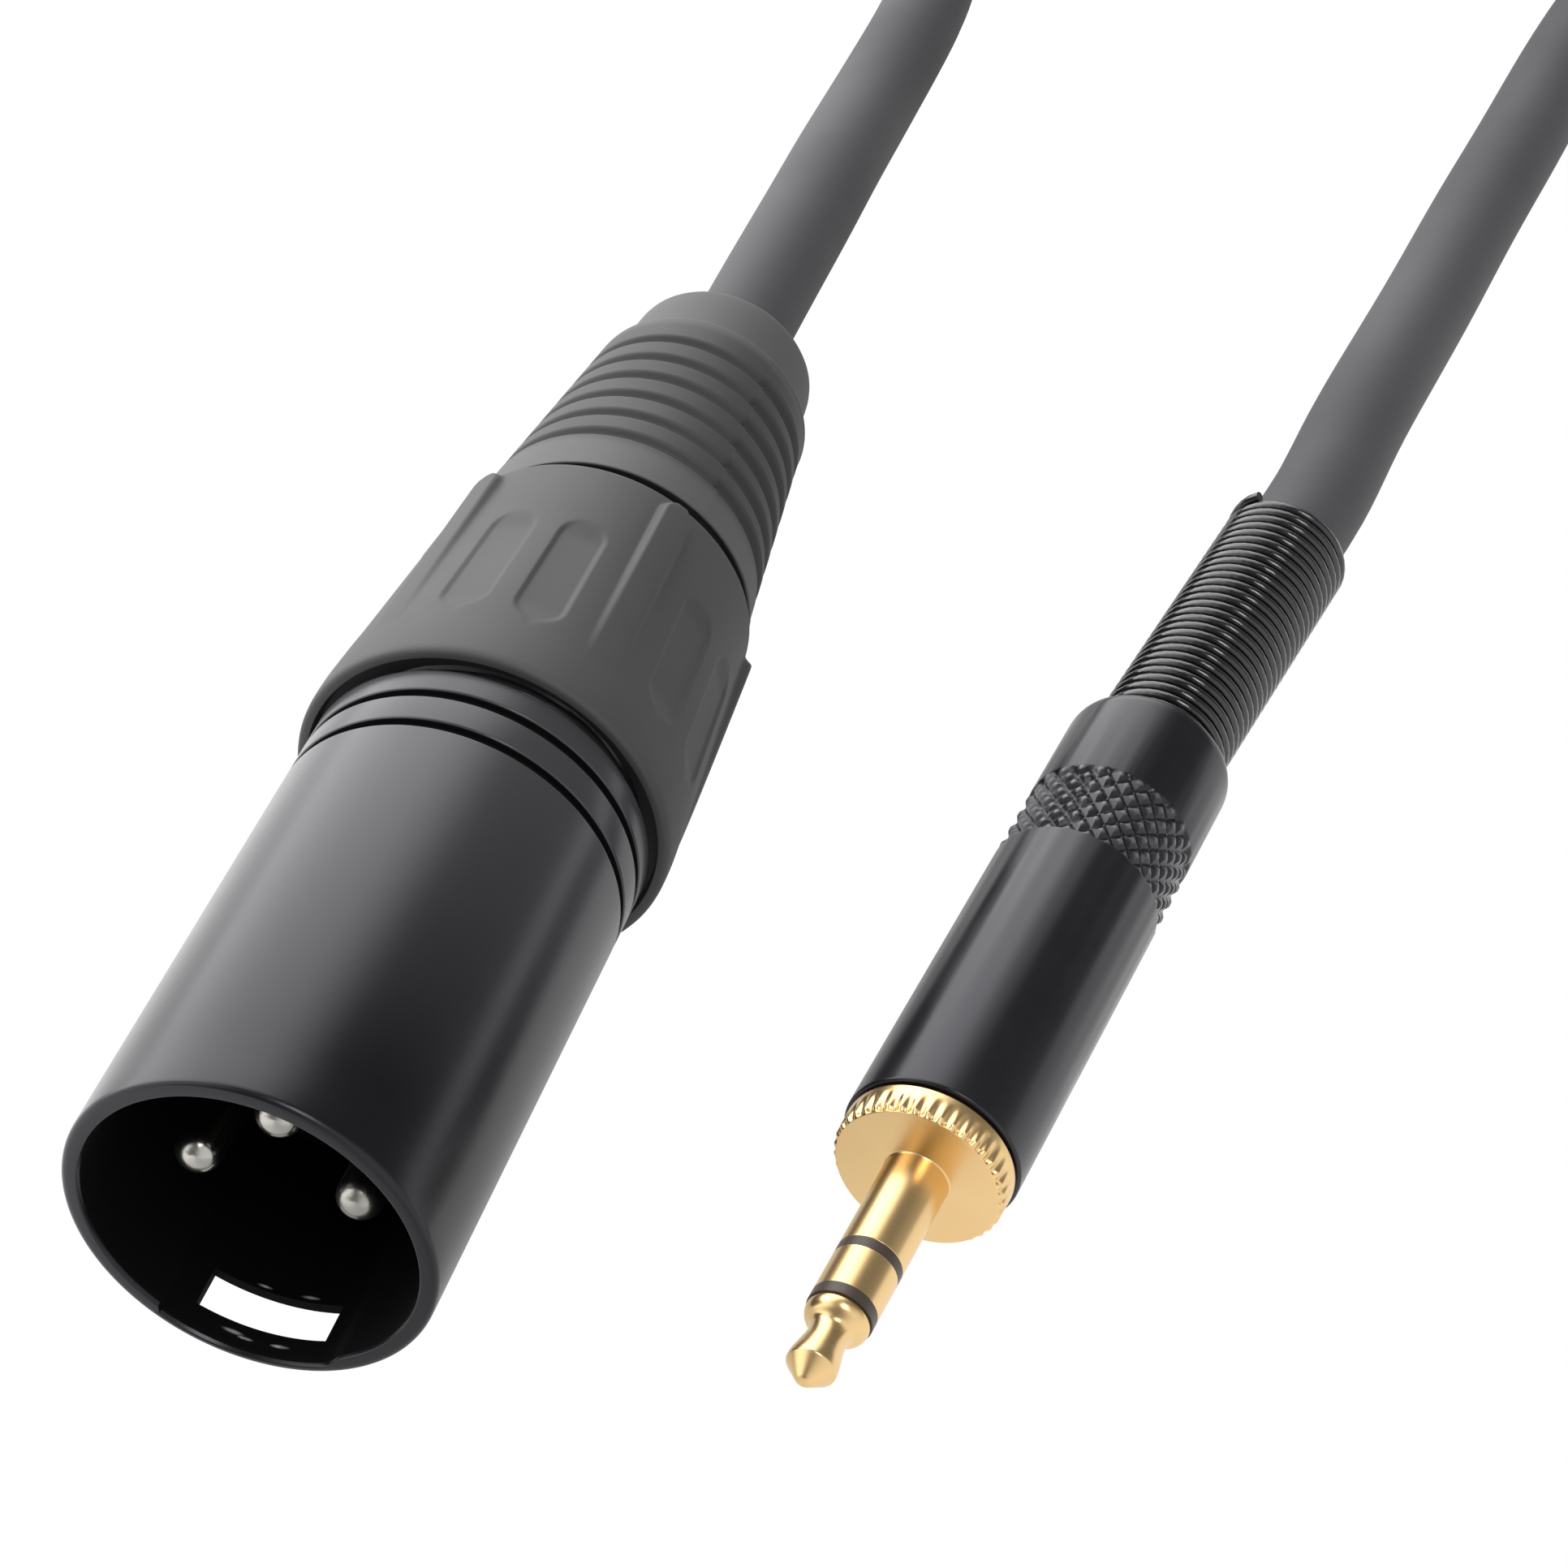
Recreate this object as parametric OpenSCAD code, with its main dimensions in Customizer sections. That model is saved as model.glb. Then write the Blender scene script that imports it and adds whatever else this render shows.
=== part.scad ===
// Audio lead: three-pin locking plug at one end, 3.5 mm stereo jack plug at the other,
// and the spare cable wound into a coil behind them.
// Both plugs lie on the surface z = 0 and point along -Y. Lengths along each plug are
// counted from its own front: the rim of the locking plug, the tip of the jack.

/* [Cable] */
// Diameter of the cable jacket
cable_d = 6; // [5:0.1:6.2]
// Diameter of one insulated conductor
wire_d = 1.1; // [0.8:0.1:1.2]

/* [Locking plug shell] */
// Outside diameter of the shell that enters the socket
shell_d = 19.2; // [18.6:0.1:20]
// Wall of the shell around the contact cavity
shell_wall = 1; // [0.8:0.1:1.3]
// Length of the shell at full diameter
shell_len = 31.6; // [30:0.1:36]
// Diameter over the rear thread that carries the nut
thread_d = 17.1; // [16.6:0.1:17.4]
// Wall of the shell under the rear thread
thread_wall = 1.05; // [0.8:0.05:1.2]
// Length of the rear thread
thread_len = 8; // [6:0.5:9]
// Chamfer at the rim of the mouth
rim_chamfer = 0.35; // [0.1:0.05:0.5]
// Width of each ring groove near the nut
groove_w = 0.6; // [0.3:0.05:0.8]
// Depth of each ring groove
groove_deep = 0.35; // [0.2:0.05:0.6]
// Distance from the rear ring groove back to the shell's shoulder
groove_back = 2.3; // [1.6:0.1:3]
// Distance between the two ring grooves
groove_step = 2.4; // [1.6:0.1:3]
// Turn of the latch window away from straight down, towards -X
plug_roll = 5; // [0:1:20]

/* [Latch window and key groove] */
// Width of the latch window around the shell
window_w = 6.9; // [5:0.1:8]
// Length of the latch window along the shell
window_len = 2.4; // [2:0.1:3.4]
// Distance from the rim to the latch window
window_front = 1.65; // [1.2:0.05:3]
// Width of the key groove inside the mouth
key_w = 4.4; // [3:0.1:5]
// Depth of the key groove
key_deep = 0.4; // [0.2:0.05:0.6]
// Length of the key groove from the rim
key_len = 14; // [8:0.5:17]

/* [Locking plug contacts] */
// Depth of the insert's front face behind the rim
insert_front = 18.4; // [17:0.1:20]
// Distance from the insert's rear step back to the shell's shoulder
insert_back = 4.3; // [3.8:0.1:6]
// Length of the insert's narrower rear part
insert_tail = 3.7; // [3:0.1:5]
// Diameter of each contact pin
pin_d = 2.38; // [2.2:0.02:2.5]
// Depth of the pin tips behind the rim
pin_tip = 3; // [2.4:0.1:6]
// Diameter of the circle through the pins
pin_circle = 8.3; // [8:0.1:9]
// Angle from the latch window to the pins at each side of it
pin_angle = 90; // [70:1:100]
// Diameter of the flat end of each pin
pin_flat_d = 1.1; // [0.4:0.1:1.4]
// Outside diameter of each solder cup
cup_d = 3; // [2.8:0.1:3.4]
// Length of each solder cup
cup_len = 5; // [4:0.1:5.6]
// Bore of each solder cup
cup_bore = 2; // [1.6:0.1:2.2]
// Thickness of the ground contact ring
ground_t = 0.4; // [0.3:0.05:0.6]
// Radial width of the ground contact ring
ground_w = 0.75; // [0.5:0.05:1]

/* [Locking plug nut] */
// Largest diameter of the nut
nut_d = 21; // [20.4:0.1:24]
// Diameter of the nut at its rear edge
nut_rear_d = 18.4; // [18:0.1:20]
// Length of the nut
nut_len = 19; // [17:0.1:22]
// Length of the nut's straight front band
nut_band = 1.6; // [1:0.1:4]
// Number of raised ribs
rib_count = 5; // [3:1:6]
// Width of each rib
rib_w = 2; // [1.4:0.1:3]
// Distance from the nut's front edge to the start of each rib
rib_start = 3.1; // [2:0.1:6]
// Distance from the nut's rear edge to the end of each rib
rib_back = 0.6; // [0.4:0.1:3]
// How far each rib falls towards the nut's rear
rib_fall = 0.5; // [0:0.1:0.8]
// Angle of the first rib from straight up, towards +X
rib_turn = 34; // [0:1:72]
// Width of each grip pocket
pocket_w = 2.8; // [2:0.1:3.2]
// Length of each grip pocket
pocket_len = 11; // [7:0.1:11.5]
// Distance from the nut's front edge to the grip pockets
pocket_front = 3.9; // [2.5:0.1:5]
// Depth of each grip pocket
pocket_deep = 0.45; // [0.2:0.05:0.5]

/* [Locking plug boot] */
// Diameter of the boot at its front collar
boot_d = 17.4; // [17:0.1:18.4]
// Length of the boot's tapered part
boot_len = 18.25; // [16:0.1:20]
// Diameter of the tapered part at its rear end
boot_rear_d = 13.7; // [13:0.1:15]
// Diameter of the boot's neck
neck_d = 11.3; // [10:0.1:12.4]
// Length of the neck
neck_len = 5; // [4:0.1:8]
// Rounding at the end of the neck
neck_round = 1.2; // [0.4:0.1:1.4]
// Number of flex grooves
flex_count = 6; // [3:1:6]
// Distance from one flex groove to the next
flex_pitch = 2.27; // [1.8:0.01:2.4]
// Width of each flex groove
flex_w = 0.8; // [0.5:0.05:1.1]
// Depth of each flex groove
flex_deep = 0.6; // [0.3:0.05:1]
// Distance from the front collar's face to the first flex groove
flex_front = 3.7; // [2.4:0.1:4.4]
// Diameter of the boot's sleeve inside the nut
sleeve_d = 14; // [13:0.1:15]
// Height of the lip that holds the boot in the nut
lip_h = 0.9; // [0.5:0.1:1.2]
// Length of the lip
lip_len = 1.5; // [1:0.1:2]

/* [Cable chuck] */
// Length of the chuck
chuck_len = 9; // [8:0.1:9.6]
// Length of the chuck's cone
chuck_cone = 5; // [3:0.1:5.6]
// Diameter of the chuck's rear end
chuck_rear_d = 8.8; // [8:0.1:10]
// Width of each slot in the chuck
chuck_slot = 0.8; // [0.5:0.1:1.2]

/* [Jack contacts] */
// Diameter of the jack pin
jack_pin_d = 3.5; // [3.4:0.05:3.6]
// Length of the jack pin from tip to flange
jack_pin_len = 14.5; // [14:0.1:15]
// Diameter of the tip's shaft
tip_d = 2.6; // [2.5:0.05:3]
// Diameter of the tip's waist
waist_d = 2; // [1.9:0.05:2.5]
// Length of the tip's cone
tip_cone = 1.2; // [0.8:0.1:1.5]
// Length of the tip contact
tip_len = 4.55; // [4.2:0.05:4.8]
// Length of the ring contact
ring_len = 2.55; // [2.2:0.05:2.8]
// Width of each insulator band
band_len = 0.65; // [0.5:0.05:0.8]
// Wall of each tube in the contact stack
stack_wall = 0.28; // [0.22:0.02:0.3]
// Diameter of the rod behind the tip
tip_rod_d = 0.9; // [0.7:0.1:0.9]
// Diameter of the flange
flange_d = 9.1; // [8.8:0.1:9.4]
// Thickness of the flange
flange_t = 1.85; // [1.4:0.05:2.4]
// Number of teeth around the flange
tooth_count = 40; // [24:4:40]
// Depth of the notches between the teeth at the flange's front face
tooth_deep = 0.3; // [0.2:0.05:0.34]
// Length of the notches along the flange
tooth_len = 1.1; // [0.8:0.1:1.3]
// Length of the threaded boss behind the flange
boss_len = 4.2; // [4.2:0.1:7]
// Length of the clamp shell behind the boss
tail_len = 17.5; // [14:0.5:18]
// Length of the clamp that grips the jacket
clamp_len = 6; // [4:0.5:8]
// Wall of the clamp shell
tail_wall = 0.4; // [0.3:0.05:0.45]
// Thickness of each solder lug
lug_t = 0.3; // [0.2:0.05:0.4]
// Thickness of each lug washer
washer_t = 0.7; // [0.5:0.05:0.8]
// Width of each solder lug's tab
lug_w = 1.6; // [1.2:0.1:1.8]
// Length of each solder lug's tab
lug_len = 5; // [3:0.1:6]

/* [Jack barrel and spring] */
// Outside diameter of the barrel
barrel_d = 9.6; // [9.4:0.05:10]
// Wall of the barrel
barrel_wall = 0.6; // [0.45:0.05:0.6]
// Length of the barrel
barrel_len = 32.8; // [31:0.1:36]
// Rounding of the barrel's rear shoulder
barrel_round = 0.8; // [0.5:0.1:1.2]
// Thickness of the barrel's rear wall
barrel_end = 3.1; // [2:0.1:3.2]
// Distance from the barrel's front edge to the knurled band
knurl_front = 20.6; // [16:0.1:22]
// Length of the knurled band
knurl_len = 5.4; // [3:0.1:6]
// Height of the knurled band
knurl_h = 0.05; // [0.02:0.01:0.1]
// Wire diameter of the strain relief spring
spring_wire = 0.65; // [0.6:0.01:0.7]
// Distance from one turn of the spring to the next
spring_pitch = 0.74; // [0.72:0.01:0.9]
// Length of the spring behind the barrel
spring_out = 21.7; // [16:0.5:26]
// Bend of the spring away from the locking plug
spring_bend = 2.9; // [0:0.1:3]
// Length of the insulating liner
liner_len = 23; // [18:0.1:23.5]
// Wall of the insulating liner
liner_wall = 0.4; // [0.3:0.05:0.45]

/* [Coil] */
// Radius of the coil's outermost turn
coil_r = 40; // [38:1:44]
// Turns in each of the two layers
coil_turns = 3.25; // [2.25:0.5:4.25]
// Width of the hook-and-loop tie
tie_w = 12; // [8:1:16]
// Thickness of the tie
tie_t = 0.8; // [0.6:0.1:1.2]

/* [Placement] */
// Sideways place of the jack's tip
jack_x = 26.4; // [24:0.1:34]
// Lengthwise place of the jack's tip
jack_y = -33.7; // [-36:0.1:-30]
// Turn of the jack away from the locking plug
jack_turn = 6.3; // [0:0.1:8]

/* [Hidden] */
$fn = 64;

// Clearances
turn_gap = 0.05;      // between parts that turn or slide in each other
fit_gap = 0.02;       // between parts pressed together in one body
seat_gap = 0.1;       // between parts that seat on each other
face_gap = 0.15;      // between end faces of parts that move apart
cable_gap = 0.1;      // round the cable where the boot slides on it
bend_gap = 0.25;      // round the cable where the bent spring slides on it
loose_gap = 0.3;      // between parts that pass each other without touching
cut = 1;              // how far a cutter runs past the face it opens

cable_r = cable_d / 2;
wire_r = wire_d / 2;

// Locking plug, counted from its rim
shell_r = shell_d / 2;
cavity_r = shell_r - shell_wall;
thread_r = thread_d / 2;
rear_bore_r = thread_r - thread_wall;
insert_step = shell_len - insert_back;
insert_rear = insert_step + insert_tail;
shell_end = shell_len + thread_len;
groove_at = shell_len - groove_back - groove_step;
insert_r = cavity_r - seat_gap;
insert_tail_r = rear_bore_r - seat_gap;
pin_r = pin_d / 2;
pin_place_r = pin_circle / 2;
pin_hold_r = pin_r + 0.16;    // the part of a pin that the insert holds
cup_floor = 1;                // thickness of a solder cup's floor
pin_angles = [pin_angle, -pin_angle, 180];
nut_front = shell_len + loose_gap;
nut_r = nut_d / 2;
nut_rear_r = nut_rear_d / 2;
nut_rear = nut_front + nut_len;
nut_taper_len = nut_len - nut_band;
nut_slope = atan((nut_r - nut_rear_r) / nut_taper_len);
nut_edge = 0.4;
thread_bore_end = shell_end + loose_gap * 2;
sleeve_r = sleeve_d / 2;
lip_r = sleeve_r + lip_h;
chuck_front = shell_end - 2.6;
chuck_rear = chuck_front + chuck_len;
chuck_r = rear_bore_r - loose_gap;
lip_front = chuck_rear + loose_gap;
lip_rear = lip_front + lip_len;
boot_front = nut_rear + face_gap;
boot_step = boot_front + boot_len;
plug_len = boot_step + neck_len;
boot_r = boot_d / 2;
boot_rear_r = boot_rear_d / 2;
neck_r = neck_d / 2;
jacket_front = chuck_front + 2;
wire_lay_r = 1.1;     // how far each conductor lies from the cable's centre
plug_y = -plug_len / 2;
rib_step = 360 / rib_count;
pocket_turns = [rib_step / 3, 2 * rib_step / 3];

// Jack, counted from its tip
jack_pin_r = jack_pin_d / 2;
ring_front = tip_len + band_len;
rear_band_front = ring_front + ring_len;
sleeve_front = rear_band_front + band_len;
flange_front = jack_pin_len;
flange_rear = flange_front + flange_t;
boss_rear = flange_rear + boss_len;
flange_r = flange_d / 2;
barrel_r = barrel_d / 2;
barrel_bore_r = barrel_r - barrel_wall;
boss_r = barrel_bore_r - turn_gap;
tip_rod_r = tip_rod_d / 2;
front_tube_r = tip_rod_r + fit_gap + stack_wall;
ring_tube_r = front_tube_r + fit_gap + stack_wall;
rear_tube_r = ring_tube_r + fit_gap + stack_wall;
lug_floor = flange_rear + 2.1;
ring_lug_front = lug_floor + washer_t;
ring_lug_rear = ring_lug_front + lug_t;
tip_lug_front = ring_lug_rear + washer_t;
tip_lug_rear = tip_lug_front + lug_t;
tail_in_r = cable_r + fit_gap;
tail_r = tail_in_r + tail_wall;
lug_room_r = tail_in_r;
lug_disc_r = 2.3;
tail_rear = boss_rear + tail_len;
jack_jacket_front = tail_rear - clamp_len - 2;
barrel_front = flange_rear + face_gap;
barrel_rear = barrel_front + barrel_len;
spring_in_r = cable_r + bend_gap;
spring_r = spring_in_r + spring_wire;
spring_hole_r = spring_r + turn_gap;
spring_seat = barrel_rear - barrel_end;
spring_front = spring_seat - loose_gap - spring_wire;
spring_flare_r = barrel_bore_r - turn_gap;
liner_r = barrel_bore_r - turn_gap;
liner_front = boss_rear + loose_gap;
liner_in_r = liner_r - liner_wall;

// Coil behind the plugs
coil_x = 19;
coil_y = 158;
coil_in_r = coil_r - coil_turns * cable_d;

// Route of the cable from the locking plug to the coil
plug_run = [[0, plug_len / 2, nut_r], [0, 43, 10.5], [0, 49, 10.4], [-0.2, 56, 9.8], [-0.7, 64, 8.6],
    [-1.3, 72, 7], [-1.9, 80, 5.4], [-2.4, 88, 4.1], [-3, 96, 3.3], [-4.5, 104, 3], [-7.6, 112, 3],
    [-11.9, 120.5, 3], [-16.4, 130, 3], [-19.4, 139.6, 3], [-20.7, 149, 3], [coil_x - coil_r, coil_y, 3]];
// Direction of the bent spring, and where it leaves the barrel
spring_dir = [sin(jack_turn + spring_bend), cos(jack_turn + spring_bend), 0];
spring_root = [jack_x + barrel_rear * sin(jack_turn), jack_y + barrel_rear * cos(jack_turn), barrel_r + knurl_h];
// Route of the cable from the coil to the jack
jack_run = [[coil_x + coil_r, coil_y, 9], [58.7, 150.2, 8.9], [57.4, 142.4, 8.3], [54.8, 134.6, 7],
    [51.3, 127.3, 5.4], [47.7, 120.4, 4.1], [44.9, 113.5, 3.2], [43.2, 106, 3], [42, 98, 3], [40.8, 88, 3],
    [39.6, 78, 3.2], [38.5, 67, 3.6], [37.4, 56, 4.4], [36.7, 49, 4.7],
    spring_root + (spring_out + 5) * spring_dir, spring_root + spring_out * spring_dir, spring_root];
tube_sides = 10;

// Unit vector along v
function unit(v) = v / norm(v);

// Direction of a route at point i
function route_dir(p, i) = unit(p[min(i + 1, len(p) - 1)] - p[max(i - 1, 0)]);

// Level sideways vector at point i of a route
function route_side(p, i) = unit(cross(route_dir(p, i), [0, 0, 1]));

// Ring of points round a route at point i
function route_ring(p, i, r) =
    let (side = route_side(p, i), up = cross(side, route_dir(p, i)))
    [for (k = [0 : tube_sides - 1])
        let (a = 360 * k / tube_sides)
        p[i] + r * (cos(a) * side + sin(a) * up)];

// Faceted tube swept along the points of a route
module route_tube(p, r) {
    rings = [for (i = [0 : len(p) - 1]) each route_ring(p, i, r)];
    last = len(p) - 1;
    skin = [for (i = [0 : last - 1], k = [0 : tube_sides - 1])
        let (a = i * tube_sides + k, b = i * tube_sides + (k + 1) % tube_sides)
        each [[a, a + tube_sides, b], [b, a + tube_sides, b + tube_sides]]];
    front = [[for (k = [0 : tube_sides - 1]) k]];
    back = [[for (k = [tube_sides - 1 : -1 : 0]) last * tube_sides + k]];
    polyhedron(rings, concat(skin, front, back));
}

// Frame of the locking plug: +Z runs back from the rim, +Y points down
module on_plug() {
    translate([0, plug_y, nut_r]) rotate([-90, 0, 0]) children();
}

// The same frame, turned so that +Y points at the latch window
module on_plug_turned() {
    on_plug() rotate([0, 0, plug_roll]) children();
}

// Frame of the jack: +Z runs back from the tip, +Y points down
module on_jack() {
    translate([jack_x, jack_y, barrel_r + knurl_h]) rotate([0, 0, -jack_turn]) rotate([-90, 0, 0]) children();
}

// Ring or tube round Z
module tube(r_out, r_in, z0, z1) {
    translate([0, 0, z0]) difference() {
        cylinder(r = r_out, h = z1 - z0);
        translate([0, 0, -cut]) cylinder(r = r_in, h = z1 - z0 + 2 * cut);
    }
}

// Round bar between two points, with a blunt round end past each of them
module strand(p, q, r) {
    v = q - p;
    end = [for (a = [0 : 30 : 60]) [r * cos(a), r * sin(a)]];
    side = [for (i = [2 : -1 : 0]) [end[i].x, -end[i].y]];
    far = [for (e = end) [e.x, norm(v) + e.y]];
    translate(p) rotate([0, acos(v.z / norm(v)), atan2(v.y, v.x)])
        rotate_extrude() polygon(concat([[0, side[0].y]], side, far, [[0, far[2].y]]));
}

// Place of a contact pin, by its angle from the latch window
function pin_place(a) = [pin_place_r * sin(a), pin_place_r * cos(a), 0];

module xlr_shell() {
    color([0.13, 0.13, 0.14]) on_plug_turned() difference() {
        rotate_extrude() polygon([
            [cavity_r, rim_chamfer], [cavity_r + rim_chamfer, 0], [shell_r - rim_chamfer, 0],
            [shell_r, rim_chamfer], [shell_r, groove_at], [shell_r - groove_deep, groove_at],
            [shell_r - groove_deep, groove_at + groove_w], [shell_r, groove_at + groove_w],
            [shell_r, groove_at + groove_step], [shell_r - groove_deep, groove_at + groove_step],
            [shell_r - groove_deep, groove_at + groove_step + groove_w],
            [shell_r, groove_at + groove_step + groove_w], [shell_r, shell_len], [thread_r, shell_len],
            [thread_r, shell_end], [rear_bore_r, shell_end], [rear_bore_r, insert_step + seat_gap],
            [cavity_r, insert_step + seat_gap]]);
        translate([-window_w / 2, 0, window_front]) cube([window_w, shell_r + cut, window_len]);
        translate([-key_w / 2, 0, -cut]) cube([key_w, cavity_r + key_deep, key_len + cut]);
    }
}

module xlr_insert() {
    color([0.08, 0.08, 0.085]) on_plug_turned() difference() {
        union() {
            translate([0, 0, insert_front]) cylinder(r = insert_r, h = insert_step - insert_front);
            translate([0, 0, insert_step]) cylinder(r = insert_tail_r, h = insert_tail);
        }
        for (a = pin_angles) translate(pin_place(a)) cylinder(r = pin_hold_r + fit_gap, h = insert_rear + cut);
    }
}

// Contact pin with a flat, rounded end and a solder cup
module contact(a) {
    edge = pin_r - pin_flat_d / 2;
    round_end = [for (t = [90 : -15 : 0])
        [pin_r - edge + edge * cos(t), pin_tip + edge - edge * sin(t)]];
    color([0.78, 0.78, 0.76]) on_plug_turned() translate(pin_place(a)) rotate_extrude($fn = 48) polygon(concat(
        [[0, pin_tip]], round_end,
        [[pin_r, insert_front], [pin_hold_r, insert_front], [pin_hold_r, insert_rear], [cup_d / 2, insert_rear],
        [cup_d / 2, insert_rear + cup_len], [cup_bore / 2, insert_rear + cup_len],
        [cup_bore / 2, insert_rear + cup_floor], [0, insert_rear + cup_floor]]));
}

module xlr_pin_1() { contact(pin_angles[0]); }

module xlr_pin_2() { contact(pin_angles[1]); }

module xlr_pin_3() { contact(pin_angles[2]); }

module xlr_ground_contact() {
    ring_r = rear_bore_r - turn_gap;
    tab_in = pin_place_r + cup_d / 2 + fit_gap;
    color([0.75, 0.72, 0.62]) on_plug_turned() {
        tube(ring_r, ring_r - ground_w, insert_rear, insert_rear + ground_t);
        translate([tab_in, pin_place(pin_angles[0]).y - cup_d / 4, insert_rear])
            cube([ring_r - ground_w / 2 - tab_in, cup_d / 2, ground_t]);
    }
}

module xlr_chuck() {
    grip_r = cable_r + fit_gap;
    color([0.82, 0.82, 0.8]) on_plug() difference() {
        rotate_extrude() polygon([
            [chuck_r - 0.8, chuck_front], [chuck_r, chuck_front], [chuck_r, chuck_rear - chuck_cone],
            [chuck_rear_d / 2, chuck_rear], [grip_r, chuck_rear],
            [grip_r, jacket_front + wire_d], [chuck_r - 0.8, chuck_front + 1]]);
        for (a = [0, 90]) rotate([0, 0, a])
            translate([-chuck_r - cut, -chuck_slot / 2, chuck_rear - chuck_cone])
                cube([2 * (chuck_r + cut), chuck_slot, chuck_cone + cut]);
    }
}

// Outline of a bar with round ends, along X
module slot_outline(len, w) {
    translate([w / 2, 0]) circle(d = w, $fn = 32);
    translate([w / 2, -w / 2]) square([len - w, w]);
    translate([len - w / 2, 0]) circle(d = w, $fn = 32);
}

// Raised rib with a round rear end
module nut_rib() {
    rib_front = nut_front + rib_start;
    rib_len = nut_rear - rib_back - rib_front;
    translate([0, 0, rib_front]) rotate([0, -90, 180]) intersection() {
        linear_extrude(height = nut_r) slot_outline(rib_len, rib_w);
        rotate([0, 90, 0]) cylinder(r1 = nut_r, r2 = nut_r - rib_fall, h = rib_len);
    }
}

// Cutter for one grip pocket, sunk into the nut's taper
module nut_pocket() {
    taper_front = nut_front + nut_band;
    floor_r = nut_r - pocket_deep;
    translate([floor_r, 0, taper_front]) rotate([0, -nut_slope, 0])
        translate([0, 0, pocket_front - nut_band]) rotate([0, -90, 180])
            linear_extrude(height = nut_r) slot_outline(pocket_len, pocket_w);
}

module xlr_back_nut() {
    bore_r = thread_r + turn_gap;
    chamber_r = lip_r + fit_gap * 5;
    hole_r = sleeve_r + turn_gap;
    color([0.25, 0.25, 0.26]) on_plug() difference() {
        union() {
            rotate_extrude() polygon([
                [bore_r, nut_front], [nut_r - nut_edge, nut_front], [nut_r, nut_front + nut_edge],
                [nut_r, nut_front + nut_band], [nut_rear_r, nut_rear], [hole_r, nut_rear],
                [hole_r, lip_rear + loose_gap], [chamber_r, lip_rear + loose_gap],
                [chamber_r, thread_bore_end], [bore_r, thread_bore_end]]);
            difference() {
                for (i = [0 : rib_count - 1]) rotate([0, 0, rib_turn + i * rib_step - 90]) nut_rib();
                translate([0, 0, nut_front]) cylinder(r = (nut_rear_r + bore_r) / 2, h = nut_len);
            }
        }
        for (i = [0 : rib_count - 1], t = pocket_turns)
            rotate([0, 0, rib_turn + i * rib_step + t - 90]) nut_pocket();
    }
}

// Radius of the boot's taper at distance z behind its front collar
function boot_taper(z) = boot_r + (boot_rear_r - boot_r) * z / boot_len;

module xlr_boot() {
    hole_r = cable_r + cable_gap;
    flex_outline = [for (i = [0 : flex_count - 1])
        let (z = flex_front + i * flex_pitch)
        each [[boot_taper(z), boot_front + z], [boot_taper(z) - flex_deep, boot_front + z + flex_w * 0.2],
            [boot_taper(z) - flex_deep, boot_front + z + flex_w * 0.8],
            [boot_taper(z + flex_w), boot_front + z + flex_w]]];
    neck_arc = [for (a = [0 : 15 : 90])
        [neck_r - neck_round + neck_round * cos(a), plug_len - neck_round + neck_round * sin(a)]];
    color([0.2, 0.2, 0.21]) on_plug() rotate_extrude() polygon(concat(
        [[hole_r, lip_front], [lip_r, lip_front], [lip_r, lip_rear], [sleeve_r, lip_rear],
            [sleeve_r, boot_front], [boot_r, boot_front]],
        flex_outline,
        [[boot_rear_r, boot_step], [neck_r + 0.15, boot_step]],
        neck_arc,
        [[hole_r, plug_len]]));
}

// Conductor from a solder cup to the end of the cable jacket
module plug_wire(a, tint) {
    p = pin_place(a);
    cup_rear = insert_rear + cup_len;
    color(tint) on_plug_turned() {
        strand(p + [0, 0, insert_rear + cup_floor + wire_r + fit_gap], p + [0, 0, cup_rear + 0.4], wire_r);
        strand(p + [0, 0, cup_rear + 0.1],
            p * wire_lay_r / pin_place_r + [0, 0, jacket_front - wire_r - fit_gap], wire_r);
    }
}

module xlr_wire_shield() { plug_wire(pin_angles[0], [0.72, 0.5, 0.3]); }

module xlr_wire_hot() { plug_wire(pin_angles[1], [0.75, 0.12, 0.1]); }

module xlr_wire_cold() { plug_wire(pin_angles[2], [0.85, 0.85, 0.83]); }

module xlr_jacket_end() {
    color([0.16, 0.16, 0.17]) on_plug() translate([0, 0, jacket_front])
        cylinder(r = cable_r, h = plug_len - jacket_front);
}

module jack_tip() {
    bead_len = 0.65;
    step_len = 0.35;
    nose_r = 0.25;
    color([0.85, 0.7, 0.42]) on_jack() rotate_extrude() polygon([
        [0, 0], [nose_r, 0], [tip_d / 2, tip_cone], [waist_d / 2, tip_len - bead_len - step_len],
        [jack_pin_r - 0.1, tip_len - bead_len], [jack_pin_r, tip_len - bead_len / 2],
        [jack_pin_r - 0.05, tip_len], [tip_rod_r, tip_len], [tip_rod_r, tip_lug_rear + fit_gap],
        [tip_rod_r * 1.7, tip_lug_rear + fit_gap], [tip_rod_r * 1.2, tip_lug_rear + 0.5],
        [0, tip_lug_rear + 0.5]]);
}

module jack_front_insulator() {
    color([0.1, 0.1, 0.1]) on_jack() {
        tube(jack_pin_r, tip_rod_r + fit_gap, tip_len, ring_front);
        tube(front_tube_r, tip_rod_r + fit_gap, ring_front, tip_lug_front);
    }
}

module jack_ring() {
    color([0.85, 0.7, 0.42]) on_jack() {
        tube(jack_pin_r, front_tube_r + fit_gap, ring_front, rear_band_front);
        tube(ring_tube_r, front_tube_r + fit_gap, rear_band_front, ring_lug_rear);
    }
}

module jack_rear_insulator() {
    color([0.1, 0.1, 0.1]) on_jack() {
        tube(jack_pin_r, ring_tube_r + fit_gap, rear_band_front, sleeve_front);
        tube(rear_tube_r, ring_tube_r + fit_gap, sleeve_front, ring_lug_front);
    }
}

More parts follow.
